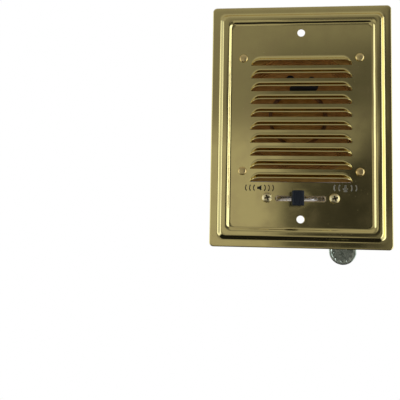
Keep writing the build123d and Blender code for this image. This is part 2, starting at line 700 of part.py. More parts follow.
def wave_arcs(place, offsets):
    """Sound-wave arcs on both sides of a pictogram, each bowed away from it."""
    x, z = place
    reach, rise = WAVE_WEDGE
    ring = Circle(WAVE_RADIUS + MARK_STROKE / 2) - Circle(WAVE_RADIUS - MARK_STROKE / 2)
    arcs = []
    for side in (-1, 1):
        corners = ((0, 0), (side * reach, rise), (side * reach, -rise))
        bow = ring & make_face(Polyline(*corners, close=True))
        arcs += [Pos(x + side * (offset - WAVE_RADIUS), z) * bow for offset in offsets]
    return arcs


def raised(shapes):
    return [slab(shape, PANEL_FRONT, PANEL_FRONT - MARK_PROUD) for shape in shapes]


def make_listen_mark():
    """Loudspeaker pictogram with sound waves on both sides."""
    horn = make_face(Polyline(
        (-1.7, -0.9), (-0.4, -0.9), (1.5, -2.1), (1.5, 2.1), (-0.4, 0.9), (-1.7, 0.9),
        close=True,
    ))
    return raised([Pos(*LISTEN_PLACE) * horn] + wave_arcs(LISTEN_PLACE, LISTEN_WAVES))


def make_talk_mark():
    """Microphone pictogram with sound waves on both sides."""
    x, z = TALK_PLACE
    head = Pos(x, z + 0.6) * SlotOverall(3.2, 1.6, rotation=90)
    cradle = Pos(x, z - 0.1) * ((Circle(1.9) - Circle(1.3)) & Pos(0, -1.5) * Rectangle(6, 3))
    stand = Pos(x, z - 2.2) * (Rectangle(0.6, 0.9) + Pos(0, -0.3) * Rectangle(2.6, 0.5))
    return raised([head, cradle + stand] + wave_arcs(TALK_PLACE, TALK_WAVES))


def make_wires():
    """Insulated hook-up wires, each from one solder lug to another."""
    board_z = SPEAKER_Z - STUD_SPACING / 2
    start_y = BOARD_Y + BOARD_SHEET + TERMINAL_SHEET + WIRE_RADIUS
    lug_z = board_z - TERMINAL_LUG_END + 1.5
    clip_z = WAFER_TOP + CLIP_LUG
    top = lug_top()
    lug_y = WIRE_LUG_Y
    left, centre, right = TERMINAL_X
    clips = [polar(CLIP_RADIUS, degrees) for degrees in CLIP_ANGLES]
    listen = [
        (left, start_y, lug_z), (left, start_y + 6, lug_z + 3), (left + 3, 26.0, lug_z + 7),
        (clips[0][0], clips[0][1], clip_z + 6), (clips[0][0], clips[0][1], clip_z),
    ]
    common = [
        (centre, start_y, lug_z), (centre, 18.0, lug_z + 5),
        (clips[2][0], clips[2][1], clip_z + 8), (clips[2][0], clips[2][1], clip_z),
    ]
    talk = [
        (right, start_y, lug_z), (right, start_y + 6, lug_z + 4), (right + 12, 24.0, lug_z + 14),
        (34.0, 33.0, -8.0), (32.0, 34.0, 20.0), (14.0, 34.0, top + 15),
        (-SPEAKER_LUG_X, lug_y, top + 11), (-SPEAKER_LUG_X, lug_y, top),
    ]
    speaker = [
        (clips[3][0], clips[3][1], clip_z), (clips[3][0], clips[3][1], clip_z + 6),
        (clips[3][0] + 9, 33.0, lug_z + 15), (24.0, 40.0, -11.0), (22.5, 40.0, 14.0),
        (SPEAKER_LUG_X + 5, lug_y + 1, top + 8), (SPEAKER_LUG_X, lug_y, top + 6),
        (SPEAKER_LUG_X, lug_y, top),
    ]
    return {
        "wire_listen": bent_wire(listen, [2.5, 3.0, 2.5], WIRE_RADIUS),
        "wire_common": bent_wire(common, [2.5, 2.0], WIRE_RADIUS),
        "wire_talk": bent_wire(talk, [3.0, 6.0, 9.0, 9.0, 8.0, 4.0], WIRE_RADIUS),
        "wire_speaker": bent_wire(speaker, [2.5, 6.0, 8.0, 6.0, 2.5, 2.0], WIRE_RADIUS),
    }


def save(name, shape):
    solids = shape if isinstance(shape, list) else [shape]
    body = solids[0] if len(solids) == 1 else Compound(children=solids)
    body.label = name
    export_step(body, "parts/" + name + ".step")


def main():
    os.makedirs("parts", exist_ok=True)
    save("face_plate", make_face_plate())
    save("mounting_ear", make_ear())
    save("listen_mark", make_listen_mark())
    save("talk_mark", make_talk_mark())
    save("speaker_studs", make_studs())
    save("stud_washers", make_washers())
    save("stud_nuts", make_nuts())
    save("speaker_gasket", make_gasket())
    save("speaker_basket", make_basket())
    save("cone_surround", make_surround())
    save("speaker_cone", make_cone())
    save("dust_cap", make_dust_cap())
    save("coil_former", tube(0, SPEAKER_Z, FORMER_RADIUS, FORMER_RADIUS - FORMER_WALL,
                             FORMER_FRONT, COIL_BACK))
    save("voice_coil", tube(0, SPEAKER_Z, COIL_RADIUS, FORMER_RADIUS, COIL_FRONT, COIL_BACK))
    save("spider", make_spider())
    top_plate, yoke, pole, slug = make_magnet_parts()
    save("top_plate", top_plate)
    save("magnet_yoke", yoke)
    save("pole_piece", pole)
    save("magnet_slug", slug)
    strip, lugs, rivet = make_speaker_terminals()
    save("speaker_terminal_strip", strip)
    save("speaker_lugs", lugs)
    save("strip_rivet", rivet)
    save("tinsel_leads", make_tinsel())
    board, spacers, plates, screws = make_terminal_board()
    save("terminal_board", board)
    save("board_spacers", spacers)
    save("terminal_plates", plates)
    save("terminal_screws", screws)
    save("switch_frame", make_switch_frame())
    save("switch_screws", make_switch_screws())
    save("switch_pivot", make_pivot())
    wafer, posts, clips = make_wafer()
    save("switch_wafer", wafer)
    save("wafer_posts", posts)
    save("wafer_clips", clips)
    blade, knob, hub, wiper = make_lever()
    save("lever_arm", blade)
    save("lever_knob", knob)
    save("rotor_hub", hub)
    save("rotor_wiper", wiper)
    save("return_spring", make_return_spring())
    for name, wire in make_wires().items():
        save(name, wire)


main()
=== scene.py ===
import json
from math import atan2, copysign, cos, exp, hypot, pi, radians, sin, sqrt, tan

import bpy
import bmesh
from mathutils import Matrix, Vector, noise
from mathutils.geometry import delaunay_2d_cdt


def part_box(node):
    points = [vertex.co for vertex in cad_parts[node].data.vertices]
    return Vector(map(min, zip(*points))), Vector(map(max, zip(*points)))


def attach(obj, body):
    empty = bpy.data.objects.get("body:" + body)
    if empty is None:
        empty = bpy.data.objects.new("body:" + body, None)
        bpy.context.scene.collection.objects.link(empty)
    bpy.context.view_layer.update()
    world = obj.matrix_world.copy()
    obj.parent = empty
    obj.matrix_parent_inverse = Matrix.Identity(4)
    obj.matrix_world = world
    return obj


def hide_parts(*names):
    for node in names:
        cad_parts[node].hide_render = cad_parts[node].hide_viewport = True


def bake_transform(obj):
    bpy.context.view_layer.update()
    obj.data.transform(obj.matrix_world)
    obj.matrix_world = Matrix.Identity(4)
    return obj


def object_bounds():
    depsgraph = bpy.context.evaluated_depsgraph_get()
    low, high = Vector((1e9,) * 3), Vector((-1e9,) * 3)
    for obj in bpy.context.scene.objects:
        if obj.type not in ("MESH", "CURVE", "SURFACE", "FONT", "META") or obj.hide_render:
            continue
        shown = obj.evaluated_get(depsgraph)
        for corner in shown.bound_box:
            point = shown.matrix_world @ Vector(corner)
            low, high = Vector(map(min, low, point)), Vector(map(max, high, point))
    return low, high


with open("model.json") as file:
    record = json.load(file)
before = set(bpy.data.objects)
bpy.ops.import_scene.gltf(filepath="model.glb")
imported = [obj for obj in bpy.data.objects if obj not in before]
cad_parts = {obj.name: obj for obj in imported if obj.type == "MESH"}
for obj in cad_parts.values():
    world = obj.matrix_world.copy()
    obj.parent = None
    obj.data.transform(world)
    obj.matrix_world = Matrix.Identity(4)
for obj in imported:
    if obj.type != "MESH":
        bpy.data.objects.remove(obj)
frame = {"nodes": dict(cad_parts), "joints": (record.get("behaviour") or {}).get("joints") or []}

# Looks of an outdoor intercom station: pressed gilt louvre plate, loudspeaker,
# lever switch and terminal board. Shapes are worked out in millimetres.

MM = 0.001
scene = bpy.context.scene
cad_low, cad_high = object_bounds()


def box_mm(node):
    """Lowest and highest corner of a CAD node, in millimetres."""
    low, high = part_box(node)
    return low / MM, high / MM


def joint_point(name):
    """Place of a joint, in millimetres."""
    joint = next(j for j in frame["joints"] if j["name"] == name)
    return Vector(joint["pos_m"]) / MM


# ---- driving sizes ----
SHEET = 0.8
PLATE_HIGH = box_mm("face_plate")[1]
HALF_WIDTH = PLATE_HIGH.x
HALF_HEIGHT = PLATE_HIGH.z
RIM_BACK = PLATE_HIGH.y
PANEL_FRONT = -SHEET
FLANGE_FRONT = 0.4
CREST_FRONT = -2.6
RIM_ROUND = 0.9
SLOPE_START = 4.7
OUTER_BEND = (2.3, 2.0)
OUTER_PITCH = 51.0
CREST_END = 11.2
INNER_BEND = (2.7, 2.3)
INNER_PITCH = 48.0
CORNER_RADII = ((0.0, 3.0), (4.6, 4.4), (8.8, 4.4), (11.2, 3.9), (14.8, 3.6), (16.5, 3.2))
CORNER_STEPS = 10
BEND_ROWS = 7
PANEL_MARGIN = 0.5
CROWN = 0.05
SWAY = 0.16
SWAY_WAVE = 0.07
SHORT_REACH, LONG_REACH = 48, 72
EDGE_MARGIN = 1.2
STATION_STEP = 4.5

LOUVRE_COUNT = 10
LOUVRE_PITCH = 9.525
LOUVRE_TOP_CUT = 44.0
LOUVRE_HALF = 36.1
LOUVRE_END = 7.0
LOUVRE_ROOT = 7.2
LOUVRE_LIP = 2.45
LOUVRE_DEPTH = 4.2
LOUVRE_BENDS = (3.4, 1.1)
LOUVRE_PITCH_ANGLE = 68.0
LOUVRE_END_STEPS = 12
LOUVRE_STRAIGHT_STEPS = 8
LOUVRE_MARGIN = 0.4

HOLE_Z = 68.25
HOLE_RADIUS = 2.7
SPEAKER_Z = (box_mm("speaker_basket")[0].z + box_mm("speaker_basket")[1].z) / 2
STUD_HALF = 41.65
PIVOT = joint_point("lever_swing")
SWITCH_Z = PIVOT.z
SCREW_X = 23.8
SCREW_Z = SWITCH_Z + 0.5
SLOT_HALF_LENGTH = 17.65
SLOT_HALF_HEIGHT = 2.05
SLOT_ROLL = 0.5
HOLE_ROLL = 0.2
ROLL_STEPS = 5
ROLL_MARGIN = 0.45
SCREW_HOLE_RADIUS = 2.0
STUD_HOLE_RADIUS = 2.1
LEVER_REST = -4.7


# ---- mesh tools ----
class Shape:
    """Points and faces of a mesh being built, in millimetres."""

    def __init__(self):
        self.points = []
        self.faces = []

    def add(self, points):
        start = len(self.points)
        self.points += [tuple(point) for point in points]
        return list(range(start, len(self.points)))

    def bridge(self, first, second, closed=True):
        count = len(first)
        for i in range(count if closed else count - 1):
            j = (i + 1) % count
            self.faces.append((first[i], first[j], second[j], second[i]))

    def strip(self, rows, closed=True):
        rings = [self.add(row) for row in rows]
        for first, second in zip(rings, rings[1:]):
            self.bridge(first, second, closed)
        return rings

    def capped(self, rows):
        """Rings joined as a solid, with a flat face over its first and last ring."""
        rings = self.strip(rows)
        self.faces += [tuple(rings[0]), tuple(rings[-1])]


WELD_DISTANCE = 2e-6
SLIVER = 1e-7
SHARP_ANGLE = 35.0


def clean(mesh):
    """Welds coincident points, drops slivers and turns the faces of a closed shape outward."""
    work = bmesh.new()
    work.from_mesh(mesh)
    bmesh.ops.remove_doubles(work, verts=work.verts, dist=WELD_DISTANCE)
    bmesh.ops.dissolve_degenerate(work, edges=work.edges, dist=SLIVER)
    loose = [v for v in work.verts if not v.link_faces]
    bmesh.ops.delete(work, geom=loose, context="VERTS")
    bmesh.ops.recalc_face_normals(work, faces=work.faces)
    work.to_mesh(mesh)
    work.free()


def link_object(name, data):
    made = bpy.data.objects.new(name, data)
    scene.collection.objects.link(made)
    return made


def mesh_object(name, shape):
    mesh = bpy.data.meshes.new(name)
    mesh.from_pydata([Vector(p) * MM for p in shape.points], [], shape.faces)
    clean(mesh)
    return link_object(name, mesh)


def evaluated_mesh(made):
    """Mesh of a curve, or of an object with its modifiers applied."""
    bpy.context.view_layer.update()
    graph = bpy.context.evaluated_depsgraph_get()
    return bpy.data.meshes.new_from_object(made.evaluated_get(graph))


def smooth(made, angle):
    made.data.shade_smooth()
    made.data.set_sharp_from_angle(angle=radians(angle))


def label(nodes):
    """Hides the CAD nodes that a piece stands for."""
    if nodes:
        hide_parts(*nodes)


def piece(name, shape, material, nodes=(), body="panel", sharp=SHARP_ANGLE):
    made = mesh_object(name, shape)
    made.data.materials.append(material)
    smooth(made, sharp)
    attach(made, body)
    label(nodes)
    return made


def full_turn(steps):
    """Evenly spaced angles all the way round."""
    return [2 * pi * step / steps for step in range(steps)]


def part_turn(start, end, steps):
    """Angles from one to another, both given in degrees."""
    return [radians(start + (end - start) * step / steps) for step in range(steps + 1)]


def ring_points(radius, y, x, z, steps):
    return [(x + radius * sin(t), y, z + radius * cos(t)) for t in full_turn(steps)]


def ring_rows(levels, steps, place):
    """One ring of points for each level, put where place(level, turn) says."""
    return [[place(level, turn) for turn in full_turn(steps)] for level in levels]


def lathe(shape, profile, x=0.0, z=SPEAKER_Z, steps=72, closed=False):
    """Turned form about an axis along Y; the profile is radius and depth."""
    rings = shape.strip([ring_points(radius, y, x, z, steps) for radius, y in profile])
    if closed:
        shape.bridge(rings[-1], rings[0])
    return rings


def arc(centre_r, centre_y, radius, start, end, steps):
    """Profile points along an arc; 0 degrees points outward, 90 to the back."""
    return [(centre_r + radius * cos(turn), centre_y + radius * sin(turn))
            for turn in part_turn(start, end, steps)]


def smoothstep(t):
    return t * t * (3 - 2 * t)


# ---- shader tools ----
# Places of the colour sockets on Blender's Mix node, which has some for each kind of data.
COLOUR_A, COLOUR_B, COLOUR_RESULT = 6, 7, 2


class Nodes:
    """Short hand for building a node tree."""

    def __init__(self, tree):
        self.tree = tree
        tree.nodes.clear()

    def add(self, kind, inputs=None, **settings):
        node = self.tree.nodes.new("ShaderNode" + kind)
        for name, value in settings.items():
            setattr(node, name, value)
        for socket, value in (inputs or {}).items():
            if isinstance(value, bpy.types.NodeSocket):
                self.tree.links.new(value, node.inputs[socket])
            else:
                node.inputs[socket].default_value = value
        return node

    def math(self, operation, first, second=0.0):
        return self.add("Math", {0: first, 1: second}, operation=operation).outputs[0]

    def times(self, first, second):
        return self.math("MULTIPLY", first, second)

    def ramp(self, value, low, high, out_low=0.0, out_high=1.0):
        sockets = {"Value": value, "From Min": low, "From Max": high,
                   "To Min": out_low, "To Max": out_high}
        return self.add("MapRange", sockets, interpolation_type="SMOOTHSTEP").outputs[0]

    def blend(self, factor, first, second):
        sockets = {"Factor": factor, "A": first, "B": second}
        return self.add("Mix", sockets, data_type="FLOAT").outputs[0]

    def colours(self, factor, first, second):
        """Mix of two colours, each a socket or red, green and blue."""
        first, second = (c if isinstance(c, bpy.types.NodeSocket) else (*c, 1.0)
                         for c in (first, second))
        sockets = {0: factor, COLOUR_A: first, COLOUR_B: second}
        return self.add("Mix", sockets, data_type="RGBA").outputs[COLOUR_RESULT]

    def place(self, stretch=(1, 1, 1)):
        """Coordinates in the object's own space, stretched."""
        where = self.add("TexCoord").outputs["Object"]
        return self.add("Mapping", {"Vector": where, "Scale": stretch}).outputs[0]

    def noise(self, scale, detail=3.0, roughness=0.55, stretch=(1, 1, 1)):
        sockets = {"Vector": self.place(stretch), "Scale": scale, "Detail": detail,
                   "Roughness": roughness}
        return self.add("TexNoise", sockets).outputs[0]

    def bump(self, height, distance):
        """Bump of a real height in millimetres."""
        sockets = {"Height": height, "Distance": distance * MM}
        return self.add("Bump", sockets).outputs[0]


WHITE = (1.0, 1.0, 1.0, 1.0)
SMOOTHEST = 0.04
WEAVE = 1100.0
RUB_REACH = (11.0, 8.0)
PIT_COLOUR = (0.25, 0.17, 0.06)


def finish_material(nodes, sockets):
    """Adds the surface shader and the output."""
    shader = nodes.add("BsdfPrincipled", sockets)
    nodes.add("OutputMaterial", {"Surface": shader.outputs[0]})


def start_material(name):
    material = bpy.data.materials.new(name)
    material.use_nodes = True
    return material, Nodes(material.node_tree)


def metal(name, colour, tint, roughness, spread=0.06, grain=900.0, blotch=90.0, relief=0.004):
    """Metal with blotches of tarnish, uneven gloss and a fine surface grain."""
    material, nodes = start_material(name)
    patches = nodes.ramp(nodes.noise(blotch, 4.0), 0.35, 0.7)
    fine = nodes.noise(grain, 2.0)
    finish_material(nodes, {
        "Base Color": nodes.colours(patches, colour, tint),
        "Metallic": 1.0,
        "Roughness": nodes.ramp(nodes.noise(blotch * 3, 3.0), 0.3, 0.75,
                                max(roughness - spread, SMOOTHEST), roughness + spread),
        "Normal": nodes.bump(fine, relief),
    })
    return material


def matt(name, colour, tint, roughness=0.7, grain=1500.0, relief=0.02, blotch=120.0,
         specular=0.4, coat=0.0, stretch=(1, 1, 1)):
    """Paper, plastic, card or paint with mottling and grain."""
    material, nodes = start_material(name)
    patches = nodes.ramp(nodes.noise(blotch, 5.0), 0.3, 0.72)
    fine = nodes.noise(grain, 3.0, 0.65, stretch)
    finish_material(nodes, {
        "Base Color": nodes.colours(patches, colour, tint),
        "Roughness": nodes.ramp(fine, 0.2, 0.8, roughness - 0.08, roughness + 0.08),
        "Normal": nodes.bump(fine, relief),
        "Specular IOR Level": specular,
        "Coat Weight": coat,
        "Coat Roughness": 0.15,
    })
    return material


def cloth(name, colour, tint):
    """Woven cloth with a thread pattern."""
    material, nodes = start_material(name)
    where = nodes.place()
    threads = []
    for direction in ("X", "Z"):
        sockets = {"Vector": where, "Scale": WEAVE, "Distortion": 0.6}
        wave = nodes.add("TexWave", sockets, bands_direction=direction)
        threads.append(wave.outputs[1])
    weft = nodes.math("MAXIMUM", threads[0], threads[1])
    patches = nodes.ramp(nodes.noise(150.0, 4.0), 0.3, 0.7)
    shade = nodes.times(weft, nodes.blend(0.35, 1.0, patches))
    finish_material(nodes, {
        "Base Color": nodes.colours(shade, tint, colour),
        "Roughness": 0.85,
        "Normal": nodes.bump(weft, 0.06),
        "Sheen Weight": 0.15,
    })
    return material


def gilt(name, colour, deep, roughness):
    """Bright gilt plating: slow ripple of the pressing, haze, hairlines, specks, rubbed slot."""
    material, nodes = start_material(name)
    sockets = {"Vector": nodes.add("TexCoord").outputs["Object"],
               "Scale": (1 / RUB_REACH[0] / MM, 0, 1 / RUB_REACH[1] / MM),
               "Location": (0, 0, -SWITCH_Z / RUB_REACH[1])}
    near_slot = nodes.add("Mapping", sockets).outputs[0]
    away = nodes.add("VectorMath", {0: near_slot}, operation="LENGTH").outputs["Value"]
    haze = nodes.noise(70.0, 3.0)
    hairlines = nodes.noise(240.0, 2.0, 0.5, (0.05, 1.0, 3.0))
    specks = nodes.add("TexVoronoi", {"Vector": nodes.place(), "Scale": 260.0}).outputs[0]
    pits = nodes.ramp(specks, 0.03, 0.07, 1.0, 0.0)
    ripple = nodes.noise(26.0, 1.0)
    tone = nodes.colours(nodes.ramp(haze, 0.35, 0.75), colour, deep)
    gloss = nodes.ramp(haze, 0.3, 0.8, roughness - 0.03, roughness + 0.05)
    gloss = nodes.math("ADD", gloss, nodes.ramp(hairlines, 0.66, 0.74, 0.0, 0.05))
    gloss = nodes.math("ADD", gloss, nodes.ramp(away, 0.5, 1.0, 0.1, 0.0))
    slow = nodes.bump(ripple, 0.06)
    fine = nodes.add("Bump", {"Height": pits, "Distance": -0.01 * MM, "Normal": slow})
    finish_material(nodes, {
        "Base Color": nodes.colours(nodes.times(pits, 0.5), tone, PIT_COLOUR),
        "Metallic": 1.0,
        "Roughness": nodes.math("ADD", gloss, nodes.times(pits, 0.2)),
        "Normal": fine.outputs[0],
    })
    return material


GOLD = gilt("gilt_front", (0.84, 0.70, 0.28), (0.80, 0.65, 0.27), 0.13)
GOLD_BACK = metal("gilt_back", (0.62, 0.52, 0.27), (0.50, 0.40, 0.22), 0.38, 0.1)
CUT_EDGE = metal("cut_edge", (0.86, 0.68, 0.42), (0.74, 0.56, 0.34), 0.36, 0.05, 1500.0)
BRASS = metal("brass_hardware", (0.92, 0.78, 0.42), (0.84, 0.68, 0.34), 0.42, 0.05, 1800.0,
              relief=0.002)
BRASS_DARK = metal("brass_aged", (0.90, 0.70, 0.30), (0.84, 0.60, 0.24), 0.34, 0.04, 1800.0,
                   relief=0.002)
ZINC = metal("zinc_plate", (0.60, 0.61, 0.60), (0.47, 0.49, 0.50), 0.34, 0.1, 700.0, 220.0)
ZINC_EAR = metal("zinc_ear", (0.60, 0.64, 0.50), (0.32, 0.36, 0.27), 0.30, 0.1, 620.0, 420.0, 0.09)
# Near-black colour for the deep faces of the screw recesses: painted shade.
RECESS_SHADE = matt("recess_painted_shade", (0.035, 0.022, 0.006), (0.06, 0.04, 0.012), 0.6, 2200.0, 0.02)
STEEL = metal("plated_steel", (0.80, 0.77, 0.74), (0.72, 0.69, 0.66), 0.27, 0.03, 2400.0, 40.0,
              0.0015)
SPRING_STEEL = metal("spring_steel", (0.42, 0.42, 0.43), (0.30, 0.29, 0.28), 0.26)
BRONZE = metal("bronze", (0.74, 0.50, 0.30), (0.55, 0.34, 0.20), 0.28)
COPPER = metal("copper_wire", (0.80, 0.40, 0.24), (0.66, 0.28, 0.15), 0.3, 0.06, 2600.0)
TINNED = metal("tinned", (0.70, 0.70, 0.68), (0.56, 0.56, 0.55), 0.3, 0.1, 1200.0)
ALNICO = metal("alnico", (0.34, 0.33, 0.32), (0.24, 0.23, 0.22), 0.5, 0.1, 1300.0, 260.0, 0.03)
BLACK = matt("black_knob", (0.006, 0.009, 0.014), (0.010, 0.014, 0.020), 0.42, 2600.0, 0.004,
             specular=0.22)
ENAMEL = matt("mark_enamel", (0.012, 0.010, 0.005), (0.02, 0.016, 0.008), 0.4, 2600.0, 0.01)
# Pale colour of the TALK mark: a painted highlight, for the bright reflection in its letters.
MARK_HIGHLIGHT = matt("mark_painted_highlight", (0.52, 0.49, 0.40), (0.20, 0.18, 0.13), 0.5, 1500.0, 0.01, 420.0)
PHENOLIC = matt("phenolic_board", (0.16, 0.065, 0.025), (0.10, 0.04, 0.016), 0.42, 500.0,
                0.012, 60.0, coat=0.2, stretch=(0.3, 1, 1.6))
CONE_PAPER = matt("cone_paper", (0.72, 0.36, 0.085), (0.58, 0.27, 0.055), 0.82, 900.0, 0.05)
# Cap paper painted lighter than the cone's paper: painted light, for the extra light the domed cap
# catches.
CAP_PAPER_LIT = matt("cap_paper", (0.80, 0.42, 0.085), (0.62, 0.31, 0.055), 0.78, 1400.0, 0.04)
GLUE = matt("black_glue", (0.008, 0.007, 0.007), (0.02, 0.014, 0.010), 0.35, 700.0, 0.05)
RING_GLUE = matt("brown_glue", (0.46, 0.21, 0.055), (0.13, 0.055, 0.02), 0.55, 240.0, 0.05)
SURROUND = matt("surround_paper", (0.62, 0.30, 0.065), (0.50, 0.23, 0.05), 0.8, 900.0, 0.05)
FORMER_PAPER = matt("former_paper", (0.42, 0.27, 0.13), (0.34, 0.2, 0.09), 0.7)
CARD = matt("gasket_card", (0.50, 0.27, 0.06), (0.40, 0.20, 0.045), 0.92, 1900.0, 0.05, 200.0, 0.2)
SPIDER_CLOTH = cloth("spider_cloth", (0.52, 0.36, 0.16), (0.3, 0.19, 0.08))
SLEEVES = {colour: matt("sleeve_" + colour, base, tint, 0.45) for colour, base, tint in (
    ("yellow", (0.72, 0.50, 0.06), (0.62, 0.41, 0.05)),
    ("black", (0.02, 0.02, 0.022), (0.03, 0.03, 0.03)),
    ("red", (0.50, 0.04, 0.03), (0.40, 0.03, 0.025)),
    ("green", (0.04, 0.22, 0.09), (0.03, 0.16, 0.06)),
)}


# ---- face plate ----
def corner_radius(inset):
    """Radius of the plate's corners at an inset from its edge."""
    for (near, small), (far, large) in zip(CORNER_RADII, CORNER_RADII[1:]):
        if inset <= far:
            return small + (large - small) * (inset - near) / (far - near)
    return CORNER_RADII[-1][1]


def side_stations(reach, extra=()):
    """Places along a side's straight part, in even steps."""
    count = int(2 * reach / STATION_STEP)
    even = [-reach + 2 * reach * i / count for i in range(count + 1)]
    return sorted(even + list(extra))


EAR_LOW, EAR_HIGH = box_mm("mounting_ear")
EAR_X = (EAR_LOW.x + EAR_HIGH.x) / 2
EAR_RADIUS = (EAR_HIGH.x - EAR_LOW.x) / 2
NOTCH = (EAR_LOW.x - 0.5, EAR_LOW.x - 0.45, EAR_HIGH.x + 0.45, EAR_HIGH.x + 0.5)
ACROSS_REACH, UPRIGHT_REACH = 44.0, 68.0
ACROSS = side_stations(ACROSS_REACH)
ACROSS_BELOW = side_stations(ACROSS_REACH, NOTCH)
UPRIGHT = side_stations(UPRIGHT_REACH)


def plate_outline(inset, y, sway=0.0):
    """Points round the plate at an inset; long sides may wander as a pressed sheet does."""
    radius = corner_radius(inset)
    wide, tall = HALF_WIDTH - inset, HALF_HEIGHT - inset
    points = []

    def wander(along, side, reach):
        window = 1 - (along / reach) ** 4
        return sway * window * noise.noise(Vector((along * SWAY_WAVE, side * 7.3, 1.7)))

    sides = (
        [(-x, tall - wander(x, 1, SHORT_REACH)) for x in ACROSS],
        [(-wide + wander(z, 2, LONG_REACH), -z) for z in UPRIGHT],
        [(x, -tall + wander(x, 3, SHORT_REACH)) for x in ACROSS_BELOW],
        [(wide - wander(z, 4, LONG_REACH), z) for z in UPRIGHT],
    )
    for index, (side_x, side_z) in enumerate(((1, 1), (-1, 1), (-1, -1), (1, -1))):
        centre_x, centre_z = side_x * (wide - radius), side_z * (tall - radius)
        for step in range(CORNER_STEPS + 1):
            turn = radians(90 * (index + step / CORNER_STEPS))
            points.append((centre_x + radius * cos(turn), y,
                           centre_z + radius * sin(turn)))
        points += [(x, y, z) for x, z in sides[index]]
    return points


def ogee(start, rise_from, rise_to, bends, pitch):
    """Two arcs joined by a straight slope: inset and depth from one level to another."""
    first, second = bends
    steep = radians(pitch)
    sign = 1 if rise_to > rise_from else -1
    arcs_rise = (first + second) * (1 - cos(steep))
    straight = (abs(rise_to - rise_from) - arcs_rise) / tan(steep)
    points = []
    for step in range(BEND_ROWS + 1):
        turn = steep * step / BEND_ROWS
        points.append((start + first * sin(turn),
                       rise_from + sign * first * (1 - cos(turn))))
    end = start + (first + second) * sin(steep) + straight
    for step in range(BEND_ROWS + 1):
        turn = steep * (1 - step / BEND_ROWS)
        points.append((end - second * sin(turn),
                       rise_to - sign * second * (1 - cos(turn))))
    return points


def plate_sections():
    """Inset, depth and sway of each ring from the rim's back edge to the flat panel."""
    rows = [(0.0, RIM_BACK, 0.0), (0.0, FLANGE_FRONT + RIM_ROUND, 0.0)]
    for turn in part_turn(0, 90, 6)[1:]:
        rows.append((RIM_ROUND * (1 - cos(turn)),
                     FLANGE_FRONT + RIM_ROUND * (1 - sin(turn)), 0.0))
    rows.append((SLOPE_START - EDGE_MARGIN, FLANGE_FRONT, 0.0))
    outer = ogee(SLOPE_START, FLANGE_FRONT, CREST_FRONT, OUTER_BEND, OUTER_PITCH)
    rows += [(inset, y, SWAY * 0.5) for inset, y in outer]
    crest_start = outer[-1][0]
    for step in range(1, 4):
        t = step / 4
        rows.append((crest_start + (CREST_END - crest_start) * t,
                     CREST_FRONT - CROWN * sin(pi * t), SWAY * (0.5 + 0.5 * t)))
    inner = ogee(CREST_END, CREST_FRONT, PANEL_FRONT, INNER_BEND, INNER_PITCH)
    rows += [(inset, y, SWAY) for inset, y in inner]
    rows.append((inner[-1][0] + PANEL_MARGIN, PANEL_FRONT, SWAY * 0.5))
    return rows


def notched(points):
    """Raises the rim's back edge over the welded ear."""
    out = []
    for x, y, z in points:
        below = z < -HALF_HEIGHT + 1 and NOTCH[1] <= x <= NOTCH[2]
        out.append((x, min(y, FLANGE_FRONT + RIM_ROUND + 0.02) if below else y, z))
    return out


def louvre_stations():
    """Place along the louvre and share of full height, tip to tip."""
    straight = LOUVRE_HALF - LOUVRE_END
    stations = [(-straight, -sin(turn), cos(turn))
                for turn in part_turn(90, 0, LOUVRE_END_STEPS)]
    for step in range(1, LOUVRE_STRAIGHT_STEPS):
        stations.append((straight * (2 * step / LOUVRE_STRAIGHT_STEPS - 1), 0.0, 1.0))
    stations += [(-base, -lean, share) for base, lean, share
                 in reversed(stations[:LOUVRE_END_STEPS + 1])]
    return stations


def add_louvre(shape, cut_z):
    """Hood of one louvre and the flat margin over it; returns the outline of its hole."""
    stations = louvre_stations()
    hood = ogee(0.0, 0.0, LOUVRE_DEPTH, LOUVRE_BENDS, LOUVRE_PITCH_ANGLE)
    stretch = (LOUVRE_ROOT - LOUVRE_LIP) / hood[-1][0]
    rows = [[(base + lean * LOUVRE_END, PANEL_FRONT - out * share,
              cut_z + (LOUVRE_ROOT - fall * stretch) * share) for base, lean, share in stations]
            for fall, out in hood]
    wide_end = LOUVRE_END + LOUVRE_MARGIN
    margin = [(base + lean * wide_end, PANEL_FRONT, cut_z + (LOUVRE_ROOT + LOUVRE_MARGIN) * share)
              for base, lean, share in stations]
    shape.strip([margin] + rows, closed=False)
    cut_line = [(base + lean * LOUVRE_END, cut_z) for base, lean, share in reversed(stations)]
    return [(x, z) for x, _, z in margin] + cut_line


def stadium(half_length, half_height):
    """Round-ended slot outline about the origin, in X and Z."""
    straight = half_length - half_height
    return [(side * (straight + half_height * cos(turn)), side * half_height * sin(turn))
            for side in (1, -1) for turn in part_turn(-90, 90, 12)]


def circle(radius, x=0.0, z=0.0):
    return [(x + radius * cos(t), z + radius * sin(t)) for t in full_turn(40)]


def add_rolled_hole(shape, x, z, outline_at, roll):
    """Hole whose edge turns in; outline_at(offset) gives the outline. Returns the panel's side."""
    rows = [[(x + u, PANEL_FRONT, z + v) for u, v in outline_at(roll + ROLL_MARGIN)]]
    for turn in part_turn(0, 90, ROLL_STEPS):
        offset = roll * (1 - sin(turn))
        depth = PANEL_FRONT + roll * (1 - cos(turn))
        rows.append([(x + u, depth, z + v) for u, v in outline_at(offset)])
    shape.strip(rows)
    return [(px, pz) for px, _, pz in rows[0]]


def encloses(loop, point):
    """Whether a point lies inside a closed outline."""
    inside = False
    for (x1, z1), (x2, z2) in zip(loop, loop[1:] + loop[:1]):
        if (z1 > point.y) != (z2 > point.y):
            inside ^= point.x < x1 + (x2 - x1) * (point.y - z1) / (z2 - z1)
    return inside


